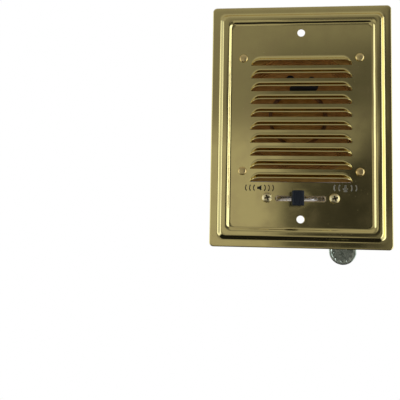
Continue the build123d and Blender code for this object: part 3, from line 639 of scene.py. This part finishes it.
def add_flat(shape, loops):
    """Fills the flat panel between its edge and its openings."""
    points, edges = [], []
    for loop in loops:
        start = len(points)
        points += [Vector(p) for p in loop]
        count = len(loop)
        edges += [(start + i, start + (i + 1) % count) for i in range(count)]
    spots, _, triangles, *_ = delaunay_2d_cdt(points, edges, [], 1, 1e-5)
    ids = shape.add([(p.x, PANEL_FRONT, p.y) for p in spots])
    for face in triangles:
        middle = sum((spots[i] for i in face), Vector((0, 0))) / len(face)
        if sum(encloses(loop, middle) for loop in loops) == 1:
            shape.faces.append(tuple(ids[i] for i in face))


CUT_EDGE_INDEX = 2


def make_plate():
    """Whole pressing as one sheet, thickened backwards."""
    shape = Shape()
    rows = [plate_outline(inset, y, sway) for inset, y, sway in plate_sections()]
    rows[0] = notched(rows[0])
    shape.strip(rows)
    loops = [[(x, z) for x, _, z in rows[-1]]]
    for index in range(LOUVRE_COUNT):
        loops.append(add_louvre(shape, LOUVRE_TOP_CUT - index * LOUVRE_PITCH))
    for z in (-HOLE_Z, HOLE_Z):
        loops.append(add_rolled_hole(shape, 0, z, lambda d: circle(HOLE_RADIUS + d), HOLE_ROLL))
    loops.append(add_rolled_hole(
        shape, 0, SWITCH_Z,
        lambda d: stadium(SLOT_HALF_LENGTH - SLOT_ROLL + d, SLOT_HALF_HEIGHT - SLOT_ROLL + d),
        SLOT_ROLL,
    ))
    loops += [circle(SCREW_HOLE_RADIUS, x, SCREW_Z) for x in (-SCREW_X, SCREW_X)]
    loops += [circle(STUD_HOLE_RADIUS, x, z) for x, z in stud_places()]
    add_flat(shape, loops)
    plate = mesh_object("pressed_face_plate", shape)
    if sum(face.normal.y * face.area for face in plate.data.polygons) > 0:
        plate.data.flip_normals()
    for material in (GOLD, GOLD_BACK, CUT_EDGE, CUT_EDGE):
        plate.data.materials.append(material)
    for face in plate.data.polygons:
        place = face.center / MM
        across, up = abs(place.x), abs(place.z - SWITCH_Z)
        if across < SLOT_HALF_LENGTH + 0.1 and up < SLOT_HALF_HEIGHT + 0.1:
            face.material_index = CUT_EDGE_INDEX
    wall = plate.modifiers.new("sheet", "SOLIDIFY")
    wall.thickness = SHEET * MM
    wall.offset = -1
    wall.use_even_offset = True
    wall.material_offset = 1
    wall.material_offset_rim = CUT_EDGE_INDEX
    solid = evaluated_mesh(plate)
    plate.modifiers.clear()
    plate.data = solid
    smooth(plate, 32)
    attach(plate, "panel")
    label(["face_plate"])


def stud_places():
    """Places of the four studs round the loudspeaker, in X and Z."""
    return [(x, SPEAKER_Z + z) for x in (-STUD_HALF, STUD_HALF) for z in (-STUD_HALF, STUD_HALF)]


make_plate()


# ---- fixings ----
HEAD_RADIUS = 3.0
HEAD_HEIGHT = 1.1
STUD_RADIUS = 2.0
STUD_END = box_mm("speaker_studs")[1].y
THREAD_PITCH = 0.8
THREAD_DEPTH = 0.28
THREAD_CHAMFER = 0.25
THREAD_STEPS = 24
HEAD_EDGE = 0.12
HEAD_STEPS = 12
NUT_HALF = 4.0
NUT_HEIGHT = 3.0
NUT_FACE = NUT_HALF * 0.97
NUT_CHAMFER = 0.55
NUT_STEPS = 72
WASHER_RADIUS = 4.4
WASHER_PLAY = 0.15
WASHER_EDGE = 0.12
NUT_FRONT = box_mm("stud_nuts")[0].y
BOARD_BACK = box_mm("terminal_board")[1].y
WASHER_FRONT = box_mm("stud_washers")[0].y


def add_thread(shape, x, z, radius, y_start, y_end):
    """Helical vee thread along Y, closed at its end by a small chamfer."""
    count = int((y_end - y_start) / THREAD_PITCH * 4)
    rows = []
    for row in range(count + 1):
        y = y_start + (y_end - y_start) * row / count
        ring = []
        for step in range(THREAD_STEPS):
            turn = 2 * pi * step / THREAD_STEPS
            phase = (y / THREAD_PITCH - step / THREAD_STEPS) % 1.0
            groove = THREAD_DEPTH * (1 - abs(2 * phase - 1))
            r = radius - groove
            ring.append((x + r * sin(turn), y, z + r * cos(turn)))
        rows.append(ring)
    rows.append(ring_points(radius - THREAD_DEPTH - THREAD_CHAMFER, y_end, x, z, THREAD_STEPS))
    shape.capped(rows)


def make_studs():
    """Four threaded studs with low domed heads."""
    shape = Shape()
    for x, z in stud_places():
        dome = [(0.0, PANEL_FRONT - HEAD_HEIGHT)]
        for step in range(1, HEAD_STEPS + 1):
            share = step / HEAD_STEPS
            rise = (HEAD_HEIGHT - HEAD_EDGE) * (1 - share ** 3.2) ** 0.6
            dome.append((HEAD_RADIUS * share, PANEL_FRONT - HEAD_EDGE - rise))
        dome += [(HEAD_RADIUS, PANEL_FRONT - 0.05), (HEAD_RADIUS - 0.1, PANEL_FRONT),
                 (0.0, PANEL_FRONT)]
        lathe(shape, dome, x, z, 48)
        add_thread(shape, x, z, STUD_RADIUS, PANEL_FRONT, STUD_END)
    piece("domed_studs", shape, BRASS_DARK, ["speaker_studs"])


def add_nut(shape, x, z, front, turn_by):
    """Hexagon nut with chamfered corners and a bore."""
    corner = NUT_HALF / cos(radians(30))
    half = NUT_HEIGHT / 2
    levels = [0.0, 0.12, 0.3, NUT_CHAMFER, 1.0]
    levels = [-half + level for level in levels] + [half - level for level in reversed(levels)]
    bore = STUD_RADIUS + 0.02

    def place(level, turn):
        cone = NUT_FACE + (half - abs(level)) * (corner - NUT_FACE) / NUT_CHAMFER
        sixth = (turn + turn_by) % (pi / 3) - pi / 6
        r = min(NUT_HALF / cos(sixth), cone)
        return x + r * sin(turn), front + half + level, z + r * cos(turn)

    rings = shape.strip([ring_points(bore, front, x, z, NUT_STEPS)]
                        + ring_rows(levels, NUT_STEPS, place)
                        + [ring_points(bore, front + NUT_HEIGHT, x, z, NUT_STEPS)])
    shape.bridge(rings[-1], rings[0])


def make_nuts():
    shape = Shape()
    for index, (x, z) in enumerate(stud_places()):
        add_nut(shape, x, z, NUT_FRONT, 0.4 + index * 0.7)
        if z < SPEAKER_Z:
            add_nut(shape, x, z, BOARD_BACK, 0.9 + index * 0.5)
    piece("hex_nuts", shape, ZINC, ["stud_nuts"], sharp=22)


def make_washers():
    inner, outer, edge = STUD_RADIUS + WASHER_PLAY, WASHER_RADIUS, WASHER_EDGE
    front, back = WASHER_FRONT, WASHER_FRONT + SHEET
    profile = [
        (inner, front + edge), (inner + edge, front), (outer - edge, front), (outer, front + edge),
        (outer, back - edge), (outer - edge, back), (inner + edge, back), (inner, back - edge),
    ]
    shape = Shape()
    for x, z in stud_places():
        lathe(shape, profile, x, z, 48, closed=True)
    piece("plain_washers", shape, ZINC, ["stud_washers"])


SCREW_HEAD = 3.6
SCREW_HEIGHT = 2.0
SCREW_SKIRT = 0.35
SCREW_STEPS = 144
SCREW_RINGS = 44
SCREW_SHANK = 1.73
RECESS_ANGLE = radians(17.0)
RECESS_ARM = 2.05
RECESS_HALF = 0.62
RECESS_DEPTH = 1.3
RECESS_SOFTNESS = 0.22
RECESS_TAPER = 0.55


def recess_depth(u, v):
    """Depth of the Phillips recess at a place on the head."""
    along = u * cos(RECESS_ANGLE) + v * sin(RECESS_ANGLE)
    across = v * cos(RECESS_ANGLE) - u * sin(RECESS_ANGLE)
    first = max(abs(along) - RECESS_ARM, abs(across) - RECESS_HALF)
    second = max(abs(across) - RECESS_ARM, abs(along) - RECESS_HALF)
    inside = smoothstep(min(max(-min(first, second) / RECESS_SOFTNESS, 0.0), 1.0))
    return inside * RECESS_DEPTH * (1 - RECESS_TAPER * hypot(u, v) / RECESS_ARM)


def make_switch_screws():
    """Two Phillips screws, with painted shade in their recesses."""
    shape, threads = Shape(), Shape()
    end = box_mm("switch_screws")[1].y
    skirt_front = PANEL_FRONT - SCREW_SKIRT
    for x in (-SCREW_X, SCREW_X):
        def place(ring, turn):
            r = SCREW_HEAD * ring / SCREW_RINGS
            dome = (SCREW_HEIGHT - SCREW_SKIRT) * (1 - (r / SCREW_HEAD) ** 2.2) ** 0.75
            u, v = r * sin(turn), r * cos(turn)
            return x + u, skirt_front - dome + recess_depth(u, v), SCREW_Z + v

        rows = ring_rows(range(1, SCREW_RINGS + 1), SCREW_STEPS, place)
        rows.append(ring_points(SCREW_HEAD, PANEL_FRONT - 0.1, x, SCREW_Z, SCREW_STEPS))
        rows.append(ring_points(SCREW_HEAD - 0.1, PANEL_FRONT, x, SCREW_Z, SCREW_STEPS))
        shape.capped(rows)
        add_thread(threads, x, SCREW_Z, SCREW_SHANK, PANEL_FRONT, end)
    heads = piece("phillips_heads", shape, BRASS, ["switch_screws"], sharp=50)
    heads.data.materials.append(RECESS_SHADE)
    # Faces deep in the recesses take the dark material: painted shade.
    for face in heads.data.polygons:
        middle = face.center / MM
        u = middle.x - copysign(SCREW_X, middle.x)
        if middle.y < PANEL_FRONT - 0.3 and recess_depth(u, middle.z - SCREW_Z) > 0.4:
            face.material_index = 1
    piece("screw_threads", threads, BRASS, ["switch_screws"])


make_studs()
make_nuts()
make_washers()
make_switch_screws()


# ---- zinc ear ----
EAR_ROUND = (0.45, 0.6)
EAR_SUNK = (0.42, 1.1, 0.9)
PIP_COUNT = 11
PIP_HEIGHT = 0.42
PIP_RADIUS = 0.7
EAR_BACK_EDGE = 0.25
EAR_BACK_SHARE = 0.975
EAR_STEPS, EAR_RINGS = 144, 26


def make_ear():
    """Cast and plated ear with a beaded rim and small pips."""
    front, back = EAR_LOW.y, EAR_HIGH.y
    centre_z = EAR_LOW.z + EAR_RADIUS
    top = EAR_HIGH.z - centre_z
    round_depth, round_width = EAR_ROUND
    sunk_depth, sunk_from, sunk_width = EAR_SUNK
    pips = [(radians(-165 + 33 * i), 0.80 + 0.07 * sin(2.4 * i))
            for i in range(PIP_COUNT)]

    def place(ring, turn):
        lean, rise = sin(turn), cos(turn)
        reach = EAR_RADIUS
        if rise > 0:
            reach = min(EAR_RADIUS / max(abs(lean), 1e-6), top / rise)
        r = reach * (ring / EAR_RINGS)
        edge = reach - r
        y = front + round_depth - round_depth * smoothstep(min(edge / round_width, 1.0))
        y += sunk_depth * smoothstep(min(max(edge - sunk_from, 0) / sunk_width, 1.0))
        u, v = r * lean, r * rise
        for angle, out in pips:
            px, pz = EAR_RADIUS * out * sin(angle), EAR_RADIUS * out * cos(angle)
            y -= PIP_HEIGHT * exp(-(hypot(u - px, v - pz) / PIP_RADIUS) ** 2)
        return EAR_X + u, max(y, front), centre_z + v

    shape = Shape()
    rows = ring_rows(range(EAR_RINGS + 1), EAR_STEPS, place)
    rows.append([(x, back - EAR_BACK_EDGE, z) for x, _, z in rows[-1]])
    rows.append([(EAR_X + (x - EAR_X) * EAR_BACK_SHARE, back,
                  centre_z + (z - centre_z) * EAR_BACK_SHARE) for x, _, z in rows[-1]])
    rings = shape.strip(rows)
    shape.faces.append(tuple(rings[-1]))
    piece("zinc_mounting_ear", shape, ZINC_EAR, ["mounting_ear"], sharp=50)


make_ear()


# ---- loudspeaker ----
PAPER = 0.5
CONE_EDGE = 38.0
CONE_FRONT = 3.2
CONE_NECK = 17.0
FORMER_RADIUS = 9.7
CAP_RADIUS = 19.0
CAP_HEIGHT = 4.2
CAP_EDGE = 0.35
CAP_STEPS = 12
CAP_SIDES = 96
ROUND_STEPS = 120
RIB_HEIGHT = 0.12
RIB_WAVE = 1.05
RIB_REACH = (20, 36)
BEAD_OFFSET = 1.0
BEAD_HALF = (2.1, 0.35)
# Each dab: place from the cone's centre, half size, height, and power of its outline.
GLUE_DABS = (
    ((3.9, 22.6), (10.8, 2.6), 0.7, 4),
    ((-6.6, 29.0), (3.2, 2.3), 0.6, 2),
    ((9.0, 28.6), (2.6, 1.7), 0.5, 2),
)
LEDGE_Y = 3.4
LEDGE_INNER = 41.0
MOUTH_RADIUS = 45.0
PASTED_RIM = ((44.3, 2.95), (44.3, 1.2), (45.9, 1.2), (45.9, 1.58), (44.95, 1.58), (44.95, 2.95))
BOWL_RADIUS = 23.0
SPIDER_Y = 20.0
COIL_TURNS = 26


def cone_depth(radius):
    """Depth of the cone's front, which curves a little towards its neck."""
    share = (CONE_EDGE - radius) / (CONE_EDGE - FORMER_RADIUS)
    return CONE_FRONT + (CONE_NECK - CONE_FRONT) * (0.8 * share + 0.2 * share * share)


def thick_profile(front, thickness):
    """Closed profile of a sheet whose front is given."""
    return front + [(radius, y + thickness) for radius, y in reversed(front)]


def make_cone():
    """Ribbed paper cone and its domed dust cap."""
    front = []
    for step in range(57):
        radius = CONE_EDGE + (FORMER_RADIUS - CONE_EDGE) * step / 56
        ribbed = RIB_REACH[0] < radius < RIB_REACH[1]
        rib = RIB_HEIGHT * max(0.0, sin(radius * RIB_WAVE)) if ribbed else 0.0
        front.append((radius, cone_depth(radius) - rib))
    shape = Shape()
    lathe(shape, thick_profile(front, PAPER), steps=ROUND_STEPS, closed=True)
    piece("paper_cone", shape, CONE_PAPER, ["speaker_cone"], "cone")

    base = cone_depth(CAP_RADIUS) - CAP_EDGE
    dome = [(CAP_RADIUS + 0.4, base)]
    for turn in part_turn(0, 90, CAP_STEPS):
        dome.append((CAP_RADIUS * cos(turn), base - (CAP_HEIGHT - CAP_EDGE) * sin(turn)))
    dome[-1] = (0.0, dome[-1][1])
    shape = Shape()
    outer_rings = lathe(shape, dome, steps=CAP_SIDES)
    inner = [(max(radius - PAPER, 0.0), y + PAPER) for radius, y in dome]
    inner_rings = lathe(shape, inner, steps=CAP_SIDES)
    shape.bridge(outer_rings[0], inner_rings[0])
    # The cap's lighter paper is painted light.
    piece("paper_dust_cap", shape, CAP_PAPER_LIT, ["dust_cap"], "cone")


def add_dab(shape, middle, half, height, power):
    """Flattened drop of glue on the cone's front, rounder in outline at a lower power."""
    rings = 8
    levels = [(ring / rings, height) for ring in range(1, rings + 1)]
    levels += [(ring / rings, -0.1) for ring in range(rings - 1, 0, -1)]

    def place(level, turn):
        share, rise = level
        lean, up = sin(turn), cos(turn)
        reach = share / (abs(lean) ** power + abs(up) ** power) ** (1 / power)
        u, v = middle[0] + half[0] * reach * lean, middle[1] + half[1] * reach * up
        proud = rise * sqrt(1 - share ** 4) - 0.15
        return u, cone_depth(hypot(u, v)) - proud, SPEAKER_Z + v

    shape.capped(ring_rows(levels, 60, place))


def make_glue():
    """Glue round the dust cap, and black glue over the lead ends on the cone's front."""
    shape = Shape()
    bead = []
    for turn in full_turn(12):
        radius = CAP_RADIUS + BEAD_OFFSET + BEAD_HALF[0] * cos(turn)
        bead.append((radius, cone_depth(radius) + 0.1 - BEAD_HALF[1] * sin(turn)))
    lathe(shape, bead, steps=ROUND_STEPS, closed=True)
    piece("cap_glue_ring", shape, RING_GLUE, (), "cone", sharp=60)
    shape = Shape()
    for dab in GLUE_DABS:
        add_dab(shape, *dab)
    piece("cone_glue", shape, GLUE, (), "cone", sharp=60)


def rippled(inner, outer, ripples, height, y_mid):
    """Wavy profile of a cone's suspension."""
    steps = ripples * 14
    points = []
    for step in range(steps + 1):
        t = step / steps
        points.append((inner + (outer - inner) * t,
                       y_mid + height * sin(2 * pi * ripples * t)))
    return points


def make_suspension():
    """Surround with its pasted rim, and the spider behind the cone."""
    shape = Shape()
    front = rippled(CONE_EDGE, LEDGE_INNER + 0.6, 2, 0.45, LEDGE_Y - PAPER)
    front += [(MOUTH_RADIUS - 0.2, LEDGE_Y - PAPER)]
    lathe(shape, thick_profile(front, PAPER), steps=ROUND_STEPS, closed=True)
    lathe(shape, PASTED_RIM, steps=ROUND_STEPS, closed=True)
    piece("rolled_surround", shape, SURROUND, ["cone_surround"])
    shape = Shape()
    front = rippled(FORMER_RADIUS, BOWL_RADIUS - 0.3, 4, 0.5, SPIDER_Y - PAPER - 0.5)
    lathe(shape, thick_profile(front, PAPER), steps=ROUND_STEPS, closed=True)
    piece("corrugated_spider", shape, SPIDER_CLOTH, ["spider"])


def make_coil():
    """Voice coil of separate turns of wire."""
    low, high = box_mm("voice_coil")
    wire = (high.y - low.y) / COIL_TURNS
    outer = (high.x - low.x) / 2
    profile = [(FORMER_RADIUS, low.y)]
    for index in range(COIL_TURNS):
        middle = low.y + wire * (index + 0.5)
        profile += arc(outer - wire / 2, middle, wire / 2, -80, 80, 4)
    profile.append((FORMER_RADIUS, high.y))
    shape = Shape()
    lathe(shape, profile, closed=True)
    piece("wound_voice_coil", shape, COPPER, ["voice_coil"], "cone", sharp=80)


make_cone()
make_glue()
make_suspension()
make_coil()


# ---- CAD pieces kept as they are, with rounded edges and their finish ----
def dress(node, material, bevel=0.0, segments=2, edge_material=None):
    """Gives a CAD node its finish and, unless its bevel is 0, rounded edges."""
    made = frame["nodes"][node]
    made.data.materials.clear()
    made.data.materials.append(material)
    weld = made.modifiers.new("weld", "WELD")
    weld.merge_threshold = WELD_DISTANCE
    if bevel:
        cut = made.modifiers.new("bevel", "BEVEL")
        cut.width = bevel * MM
        cut.segments = segments
        cut.limit_method = "ANGLE"
        cut.angle_limit = radians(SHARP_ANGLE)
        cut.miter_outer = "MITER_ARC"
        if edge_material:
            made.data.materials.append(edge_material)
            cut.material = 1


DRESSING = (
    ("speaker_gasket", CARD, 0.15),
    ("speaker_basket", ZINC, 0.18),
    ("coil_former", FORMER_PAPER),
    ("top_plate", ZINC, 0.3),
    ("magnet_yoke", ZINC, 0.5, 3),
    ("pole_piece", STEEL, 0.2),
    ("magnet_slug", ALNICO, 0.4),
    ("speaker_terminal_strip", PHENOLIC, 0.15),
    ("speaker_lugs", TINNED, 0.12),
    ("strip_rivet", BRASS, 0.25),
    ("terminal_board", PHENOLIC, 0.15),
    ("board_spacers", ZINC, 0.2),
    ("terminal_plates", TINNED, 0.15),
    ("terminal_screws", BRASS, 0.2),
    ("switch_frame", STEEL, 0.2),
    ("switch_pivot", STEEL, 0.2),
    ("switch_wafer", PHENOLIC, 0.12),
    ("wafer_posts", BRASS, 0.15),
    ("wafer_clips", TINNED, 0.1),
    ("lever_arm", STEEL, 0.12),
    ("rotor_hub", PHENOLIC, 0.2),
    ("rotor_wiper", BRONZE, 0.1),
    ("listen_mark", ENAMEL, 0.05, 1, BRASS),
    # The TALK mark's pale colour is a painted highlight.
    ("talk_mark", MARK_HIGHLIGHT, 0.05, 1, BRASS),
)
for row in DRESSING:
    dress(*row)


# ---- lever knob and spring ----
KNOB_LOW, KNOB_HIGH = box_mm("lever_knob")
KNOB_HALF = 4.1
KNOB_FRONT = -10.6
KNOB_RIDGES = 6
KNOB_GROOVE = 0.34
KNOB_EDGE = 0.7
KNOB_BACK_GAP = 0.05
KNOB_BACK_STEPS = 5
KNOB_ROUND_STEPS = 6
LEVER_TURN = Matrix.Rotation(radians(LEVER_REST), 4, "Z")
LEVER_AXIS = Vector((PIVOT.x, PIVOT.y, 0))


def knob_back_radius():
    """Radius of the hollow back about the lever's pivot, read from the CAD knob."""
    points = [v.co / MM for v in frame["nodes"]["lever_knob"].data.vertices]
    return min(hypot(p.x - PIVOT.x, p.y - PIVOT.y) for p in points)


def knob_profile():
    """Outline seen from above: ridged front, straight cheeks and hollow back."""
    front = []
    steps = KNOB_RIDGES * 8
    face = KNOB_HALF - KNOB_EDGE
    for step in range(steps + 1):
        x = -face + 2 * face * step / steps
        wave = 0.5 - 0.5 * cos(2 * pi * KNOB_RIDGES * step / steps)
        front.append((x, KNOB_FRONT + KNOB_GROOVE * (1 - wave ** 0.6)))
    right = arc(face, KNOB_FRONT + KNOB_EDGE + KNOB_GROOVE, KNOB_EDGE, -90, 0, 5)
    left = [(-x, y) for x, y in reversed(right)]
    back_radius = knob_back_radius() + KNOB_BACK_GAP
    back = []
    for step in range(2 * KNOB_BACK_STEPS + 1):
        x = KNOB_HALF * (1 - step / KNOB_BACK_STEPS)
        back.append((x, PIVOT.y - sqrt(back_radius ** 2 - x * x)))
    return left + front + right + back


def make_knob():
    """Knob turned to the lever's rest angle, rounded above and below."""
    half = (KNOB_HIGH.z - KNOB_LOW.z) / 2
    profile = knob_profile()
    middle_y = sum(y for _, y in profile) / len(profile)
    rows = []
    for side, start in ((-1, -90), (1, 0)):
        for turn in part_turn(start, start + 90, KNOB_ROUND_STEPS):
            z = SWITCH_Z + side * (half - KNOB_EDGE) + KNOB_EDGE * sin(turn)
            shrink = 1 - KNOB_EDGE * (1 - cos(turn)) / KNOB_HALF
            rows.append([(x * shrink, middle_y + (y - middle_y) * (1 - (1 - shrink) * 1.1), z)
                         for x, y in profile])
    shape = Shape()
    shape.capped(rows)
    shape.points = [tuple(LEVER_TURN @ (Vector(p) - LEVER_AXIS) + LEVER_AXIS)
                    for p in shape.points]
    piece("ridged_knob", shape, BLACK, ["lever_knob"], "lever", sharp=50)


def curve_piece(name, points, radius, material, nodes, nurbs=True, bend=None):
    """Round wire along one smooth line, fixed to the panel, or, when bend is given, made a plain
    mesh fixed to no body.
    """
    line = bpy.data.curves.new(name, "CURVE")
    line.dimensions = "3D"
    line.bevel_depth = radius * MM
    line.bevel_resolution = 5
    line.use_fill_caps = True
    for stretch in points:
        spline = line.splines.new("NURBS" if nurbs else "POLY")
        spline.points.add(len(stretch) - 1)
        for target, place in zip(spline.points, stretch):
            target.co = (*(Vector(place) * MM), 1.0)
        if nurbs:
            spline.order_u = 3
            spline.use_endpoint_u = True
            spline.resolution_u = 8
    made = link_object(name, line)
    line.materials.append(material)
    if bend:
        solid = evaluated_mesh(made)
        bpy.data.objects.remove(made)
        made = link_object(name, solid)
        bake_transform(made)
    else:
        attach(made, "panel")
    label(nodes)


SPRING_RADIUS = 4.4
SPRING_WIRE = 0.4
SPRING_GAP = 1.4
SPRING_REACH = 14.0
SPRING_TURNS = 3.0
SPRING_STEPS = 120


def make_spring():
    """Torsion spring round the hub, its legs either side of the lever's stud."""
    low, high = box_mm("return_spring")
    bottom, top = low.z + SPRING_WIRE, high.z - SPRING_WIRE
    lean = atan2(SPRING_RADIUS - SPRING_GAP, SPRING_REACH)
    turns = SPRING_TURNS * 2 * pi
    line = [(-SPRING_GAP, -SPRING_REACH, (top + bottom) / 2)]
    for step in range(SPRING_STEPS + 1):
        t = step / SPRING_STEPS
        turn = pi - lean + (turns - pi + 2 * lean) * t
        line.append((SPRING_RADIUS * cos(turn), SPRING_RADIUS * sin(turn),
                     bottom + (top - bottom) * t))
    line.append((SPRING_GAP, -SPRING_REACH, (top + bottom) / 2))
    placed = [LEVER_TURN @ Vector(p) + LEVER_AXIS for p in line]
    curve_piece("torsion_spring", [placed], SPRING_WIRE, SPRING_STEEL,
                ["return_spring"], nurbs=False,
                bend=("lever", PIVOT.y - SPRING_RADIUS - 1.0, PIVOT.y - SPRING_REACH + 1.0))


make_knob()
make_spring()


# ---- wiring ----
WIRE_RADIUS = 0.65
TINSEL_RADIUS = 0.4
LUG_TOP = box_mm("speaker_lugs")[1].z
TERMINAL_LOW, TERMINAL_HIGH = box_mm("terminal_plates")
WIRE_Y = TERMINAL_HIGH.y + WIRE_RADIUS
LUG_Z = TERMINAL_LOW.z + 1.5
CLIP_TOP = box_mm("wafer_clips")[1].z
TERMINAL_X = 20.0
CLIP_RADIUS = 10.5
STRIP_Y = 36.0
SPEAKER_LUG_X = 9.0
LEAD_X = 7.7
LEAD_RADIUS = 26.0


def clip_place(degrees):
    """Place of a wafer clip, in X and Y."""
    turn = radians(degrees)
    return CLIP_RADIUS * sin(turn), PIVOT.y - CLIP_RADIUS * cos(turn)


def wire_routes():
    """Name, colour and control points of each hook-up wire."""
    first, third, fourth = clip_place(-66), clip_place(24), clip_place(66)
    lug_y = STRIP_Y - 3.2
    return (
        ("wire_listen", "yellow", [
            (-TERMINAL_X, WIRE_Y, LUG_Z), (-TERMINAL_X, WIRE_Y + 6, LUG_Z + 3),
            (-TERMINAL_X + 3, 26.0, LUG_Z + 7), (*first, CLIP_TOP + 6), (*first, CLIP_TOP),
        ]),
        ("wire_common", "black", [
            (0, WIRE_Y, LUG_Z), (0, 18.0, LUG_Z + 5), (*third, CLIP_TOP + 8), (*third, CLIP_TOP),
        ]),
        ("wire_talk", "red", [
            (TERMINAL_X, WIRE_Y, LUG_Z), (TERMINAL_X, WIRE_Y + 6, LUG_Z + 4),
            (TERMINAL_X + 12, 24.0, LUG_Z + 14), (34.0, 33.0, -8.0), (32.0, 34.0, 20.0),
            (14.0, 34.0, LUG_TOP + 15), (-SPEAKER_LUG_X, lug_y, LUG_TOP + 11),
            (-SPEAKER_LUG_X, lug_y, LUG_TOP),
        ]),
        ("wire_speaker", "green", [
            (*fourth, CLIP_TOP), (*fourth, CLIP_TOP + 6), (fourth[0] + 9, 33.0, LUG_Z + 15),
            (24.0, 40.0, -11.0), (22.5, 40.0, 14.0), (SPEAKER_LUG_X + 5, lug_y + 1, LUG_TOP + 8),
            (SPEAKER_LUG_X, lug_y, LUG_TOP + 6), (SPEAKER_LUG_X, lug_y, LUG_TOP),
        ]),
    )


def tinsel_routes():
    """Control points of the two braided leads to the cone."""
    routes = []
    lug_y = STRIP_Y - 6.1
    cone_y = cone_depth(LEAD_RADIUS) + PAPER
    for side in (-1, 1):
        lug_x = side * SPEAKER_LUG_X
        routes.append([
            (lug_x, lug_y, LUG_TOP), (lug_x, lug_y, LUG_TOP + 6),
            (side * 8.6, lug_y - 9, LUG_TOP + 9), (side * 8.1, lug_y - 16, LUG_TOP + 6),
            (side * LEAD_X, cone_y + 0.6, SPEAKER_Z + 25.3),
        ])
    return routes


for wire, colour, route in wire_routes():
    curve_piece("sleeved_" + wire, [route], WIRE_RADIUS, SLEEVES[colour], [wire])
TINSEL = metal("tinsel_braid", (0.72, 0.48, 0.30), (0.58, 0.36, 0.22), 0.4, 0.1, 5000.0,
               600.0, 0.05)
curve_piece("braided_leads", tinsel_routes(), TINSEL_RADIUS, TINSEL, ["tinsel_leads"],
            bend=("cone", STRIP_Y - 7.0, cone_depth(LEAD_RADIUS) + 1.5))


# ---- camera ----
CAMERA_PLACE = (-0.0524, -0.2795, -0.0714)
CAMERA_AZIMUTH = 4.01
CAMERA_RISE = 3.27
CAMERA_ROLL = 1.10
LENS = 34.65


def make_camera():
    data = bpy.data.cameras.new("camera")
    data.lens = LENS
    data.sensor_width = 36.0
    data.clip_start = 0.01
    camera = link_object("camera", data)
    turn = (Matrix.Rotation(radians(CAMERA_AZIMUTH), 4, "Z")
            @ Matrix.Rotation(radians(90 + CAMERA_RISE), 4, "X")
            @ Matrix.Rotation(radians(CAMERA_ROLL), 4, "Z"))
    camera.matrix_world = Matrix.Translation(CAMERA_PLACE) @ turn
    scene.camera = camera


WINDOW_START, WINDOW_FULL = 0.70, 0.82
WINDOW_TINT = (0.97, 1.06, 1.22)


def make_world():
    """Studio of large soft panels: bright at the sides, dim in front, dark below."""
    world = bpy.data.worlds.new("studio")
    world.use_nodes = True
    scene.world = world
    nodes = Nodes(world.node_tree)
    ramp, blend, times = nodes.ramp, nodes.blend, nodes.times
    where = nodes.add("TexCoord").outputs["Generated"]
    axes = nodes.add("SeparateXYZ", {0: where}).outputs
    x, y, z = axes
    toward = nodes.math("MAXIMUM", times(y, -1.0), 0.02)
    bearing = nodes.math("DIVIDE", x, toward)

    def area(direction, start, full, strength):
        """Level with one more panel, which fades in along a direction."""
        return blend(ramp(direction, start, full), level, strength)

    # Front: bright on the left of a slanting edge, dark on its right.
    slant = times(ramp(z, 0.118, 0.168), 0.22)
    edge = ramp(nodes.math("SUBTRACT", bearing, slant), 0.118, 0.153)
    level = blend(edge, 0.42, ramp(bearing, 0.18, 0.30, 0.055, 0.034))
    fall = times(ramp(bearing, 0.07, 0.24), ramp(z, 0.09, 0.16))
    level = times(level, ramp(fall, 0.0, 1.0, 1.0, 0.5))
    level = area(z, -0.13, -0.24, 0.33)
    level = area(z, 0.19, 0.27, 0.235)
    # Dark band high on the right, dim right side and the corner below it.
    band = times(ramp(z, 0.24, 0.29), ramp(z, 0.36, 0.45, 1.0, 0.0))
    band = times(band, ramp(bearing, 0.06, 0.14, 0.15, 1.0))
    level = blend(band, level, 0.09)
    level = area(x, 0.32, 0.44, 0.07)
    corner = times(ramp(bearing, 0.375, 0.40), ramp(z, 0.0, 0.04, 1.0, 0.0))
    level = blend(corner, level, 0.14)
    level = area(x, -0.30, -0.42, 0.25)
    # Windows at both sides, brighter towards the front.
    toward_back = ramp(y, -0.25, 0.05)
    left = blend(toward_back, 1.45, 0.65)
    right = blend(toward_back, 1.9, 0.75)
    level = area(x, -WINDOW_START, -WINDOW_FULL, left)
    level = area(x, WINDOW_START, WINDOW_FULL, right)
    # Back, ceiling and dark floor.
    level = area(y, 0.3, 0.6, 0.9)
    level = area(z, 0.45, 0.75, 0.37)
    level = area(z, -0.58, -0.74, 0.012)
    window = ramp(nodes.math("ABSOLUTE", x), WINDOW_START, WINDOW_FULL)
    light = nodes.colours(window, (1, 1, 1), WINDOW_TINT)
    studio = nodes.add("Background", {"Color": light, "Strength": level})
    plain = nodes.add("Background", {"Color": WHITE, "Strength": 1.0})
    seen = nodes.add("LightPath").outputs["Is Camera Ray"]
    mix = nodes.add("MixShader", {0: seen, 1: studio.outputs[0], 2: plain.outputs[0]})
    nodes.add("OutputWorld", {"Surface": mix.outputs[0]})


FLOOR_GAP = 0.06


def make_floor():
    """Pale floor below the station."""
    low = cad_low.z - FLOOR_GAP
    mesh = bpy.data.meshes.new("floor")
    corners = [(x, y, low) for x, y in ((-4, -4), (4, -4), (4, 4), (-4, 4))]
    mesh.from_pydata(corners, [], [(0, 1, 2, 3)])
    floor = link_object("floor", mesh)
    material, nodes = start_material("floor_white")
    shader = nodes.add("Emission", {"Color": WHITE, "Strength": 1.0})
    nodes.add("OutputMaterial", {"Surface": shader.outputs[0]})
    mesh.materials.append(material)
    floor.visible_glossy = False
    floor.visible_diffuse = False


make_camera()
make_world()
make_floor()
scene.view_settings.view_transform = "Standard"
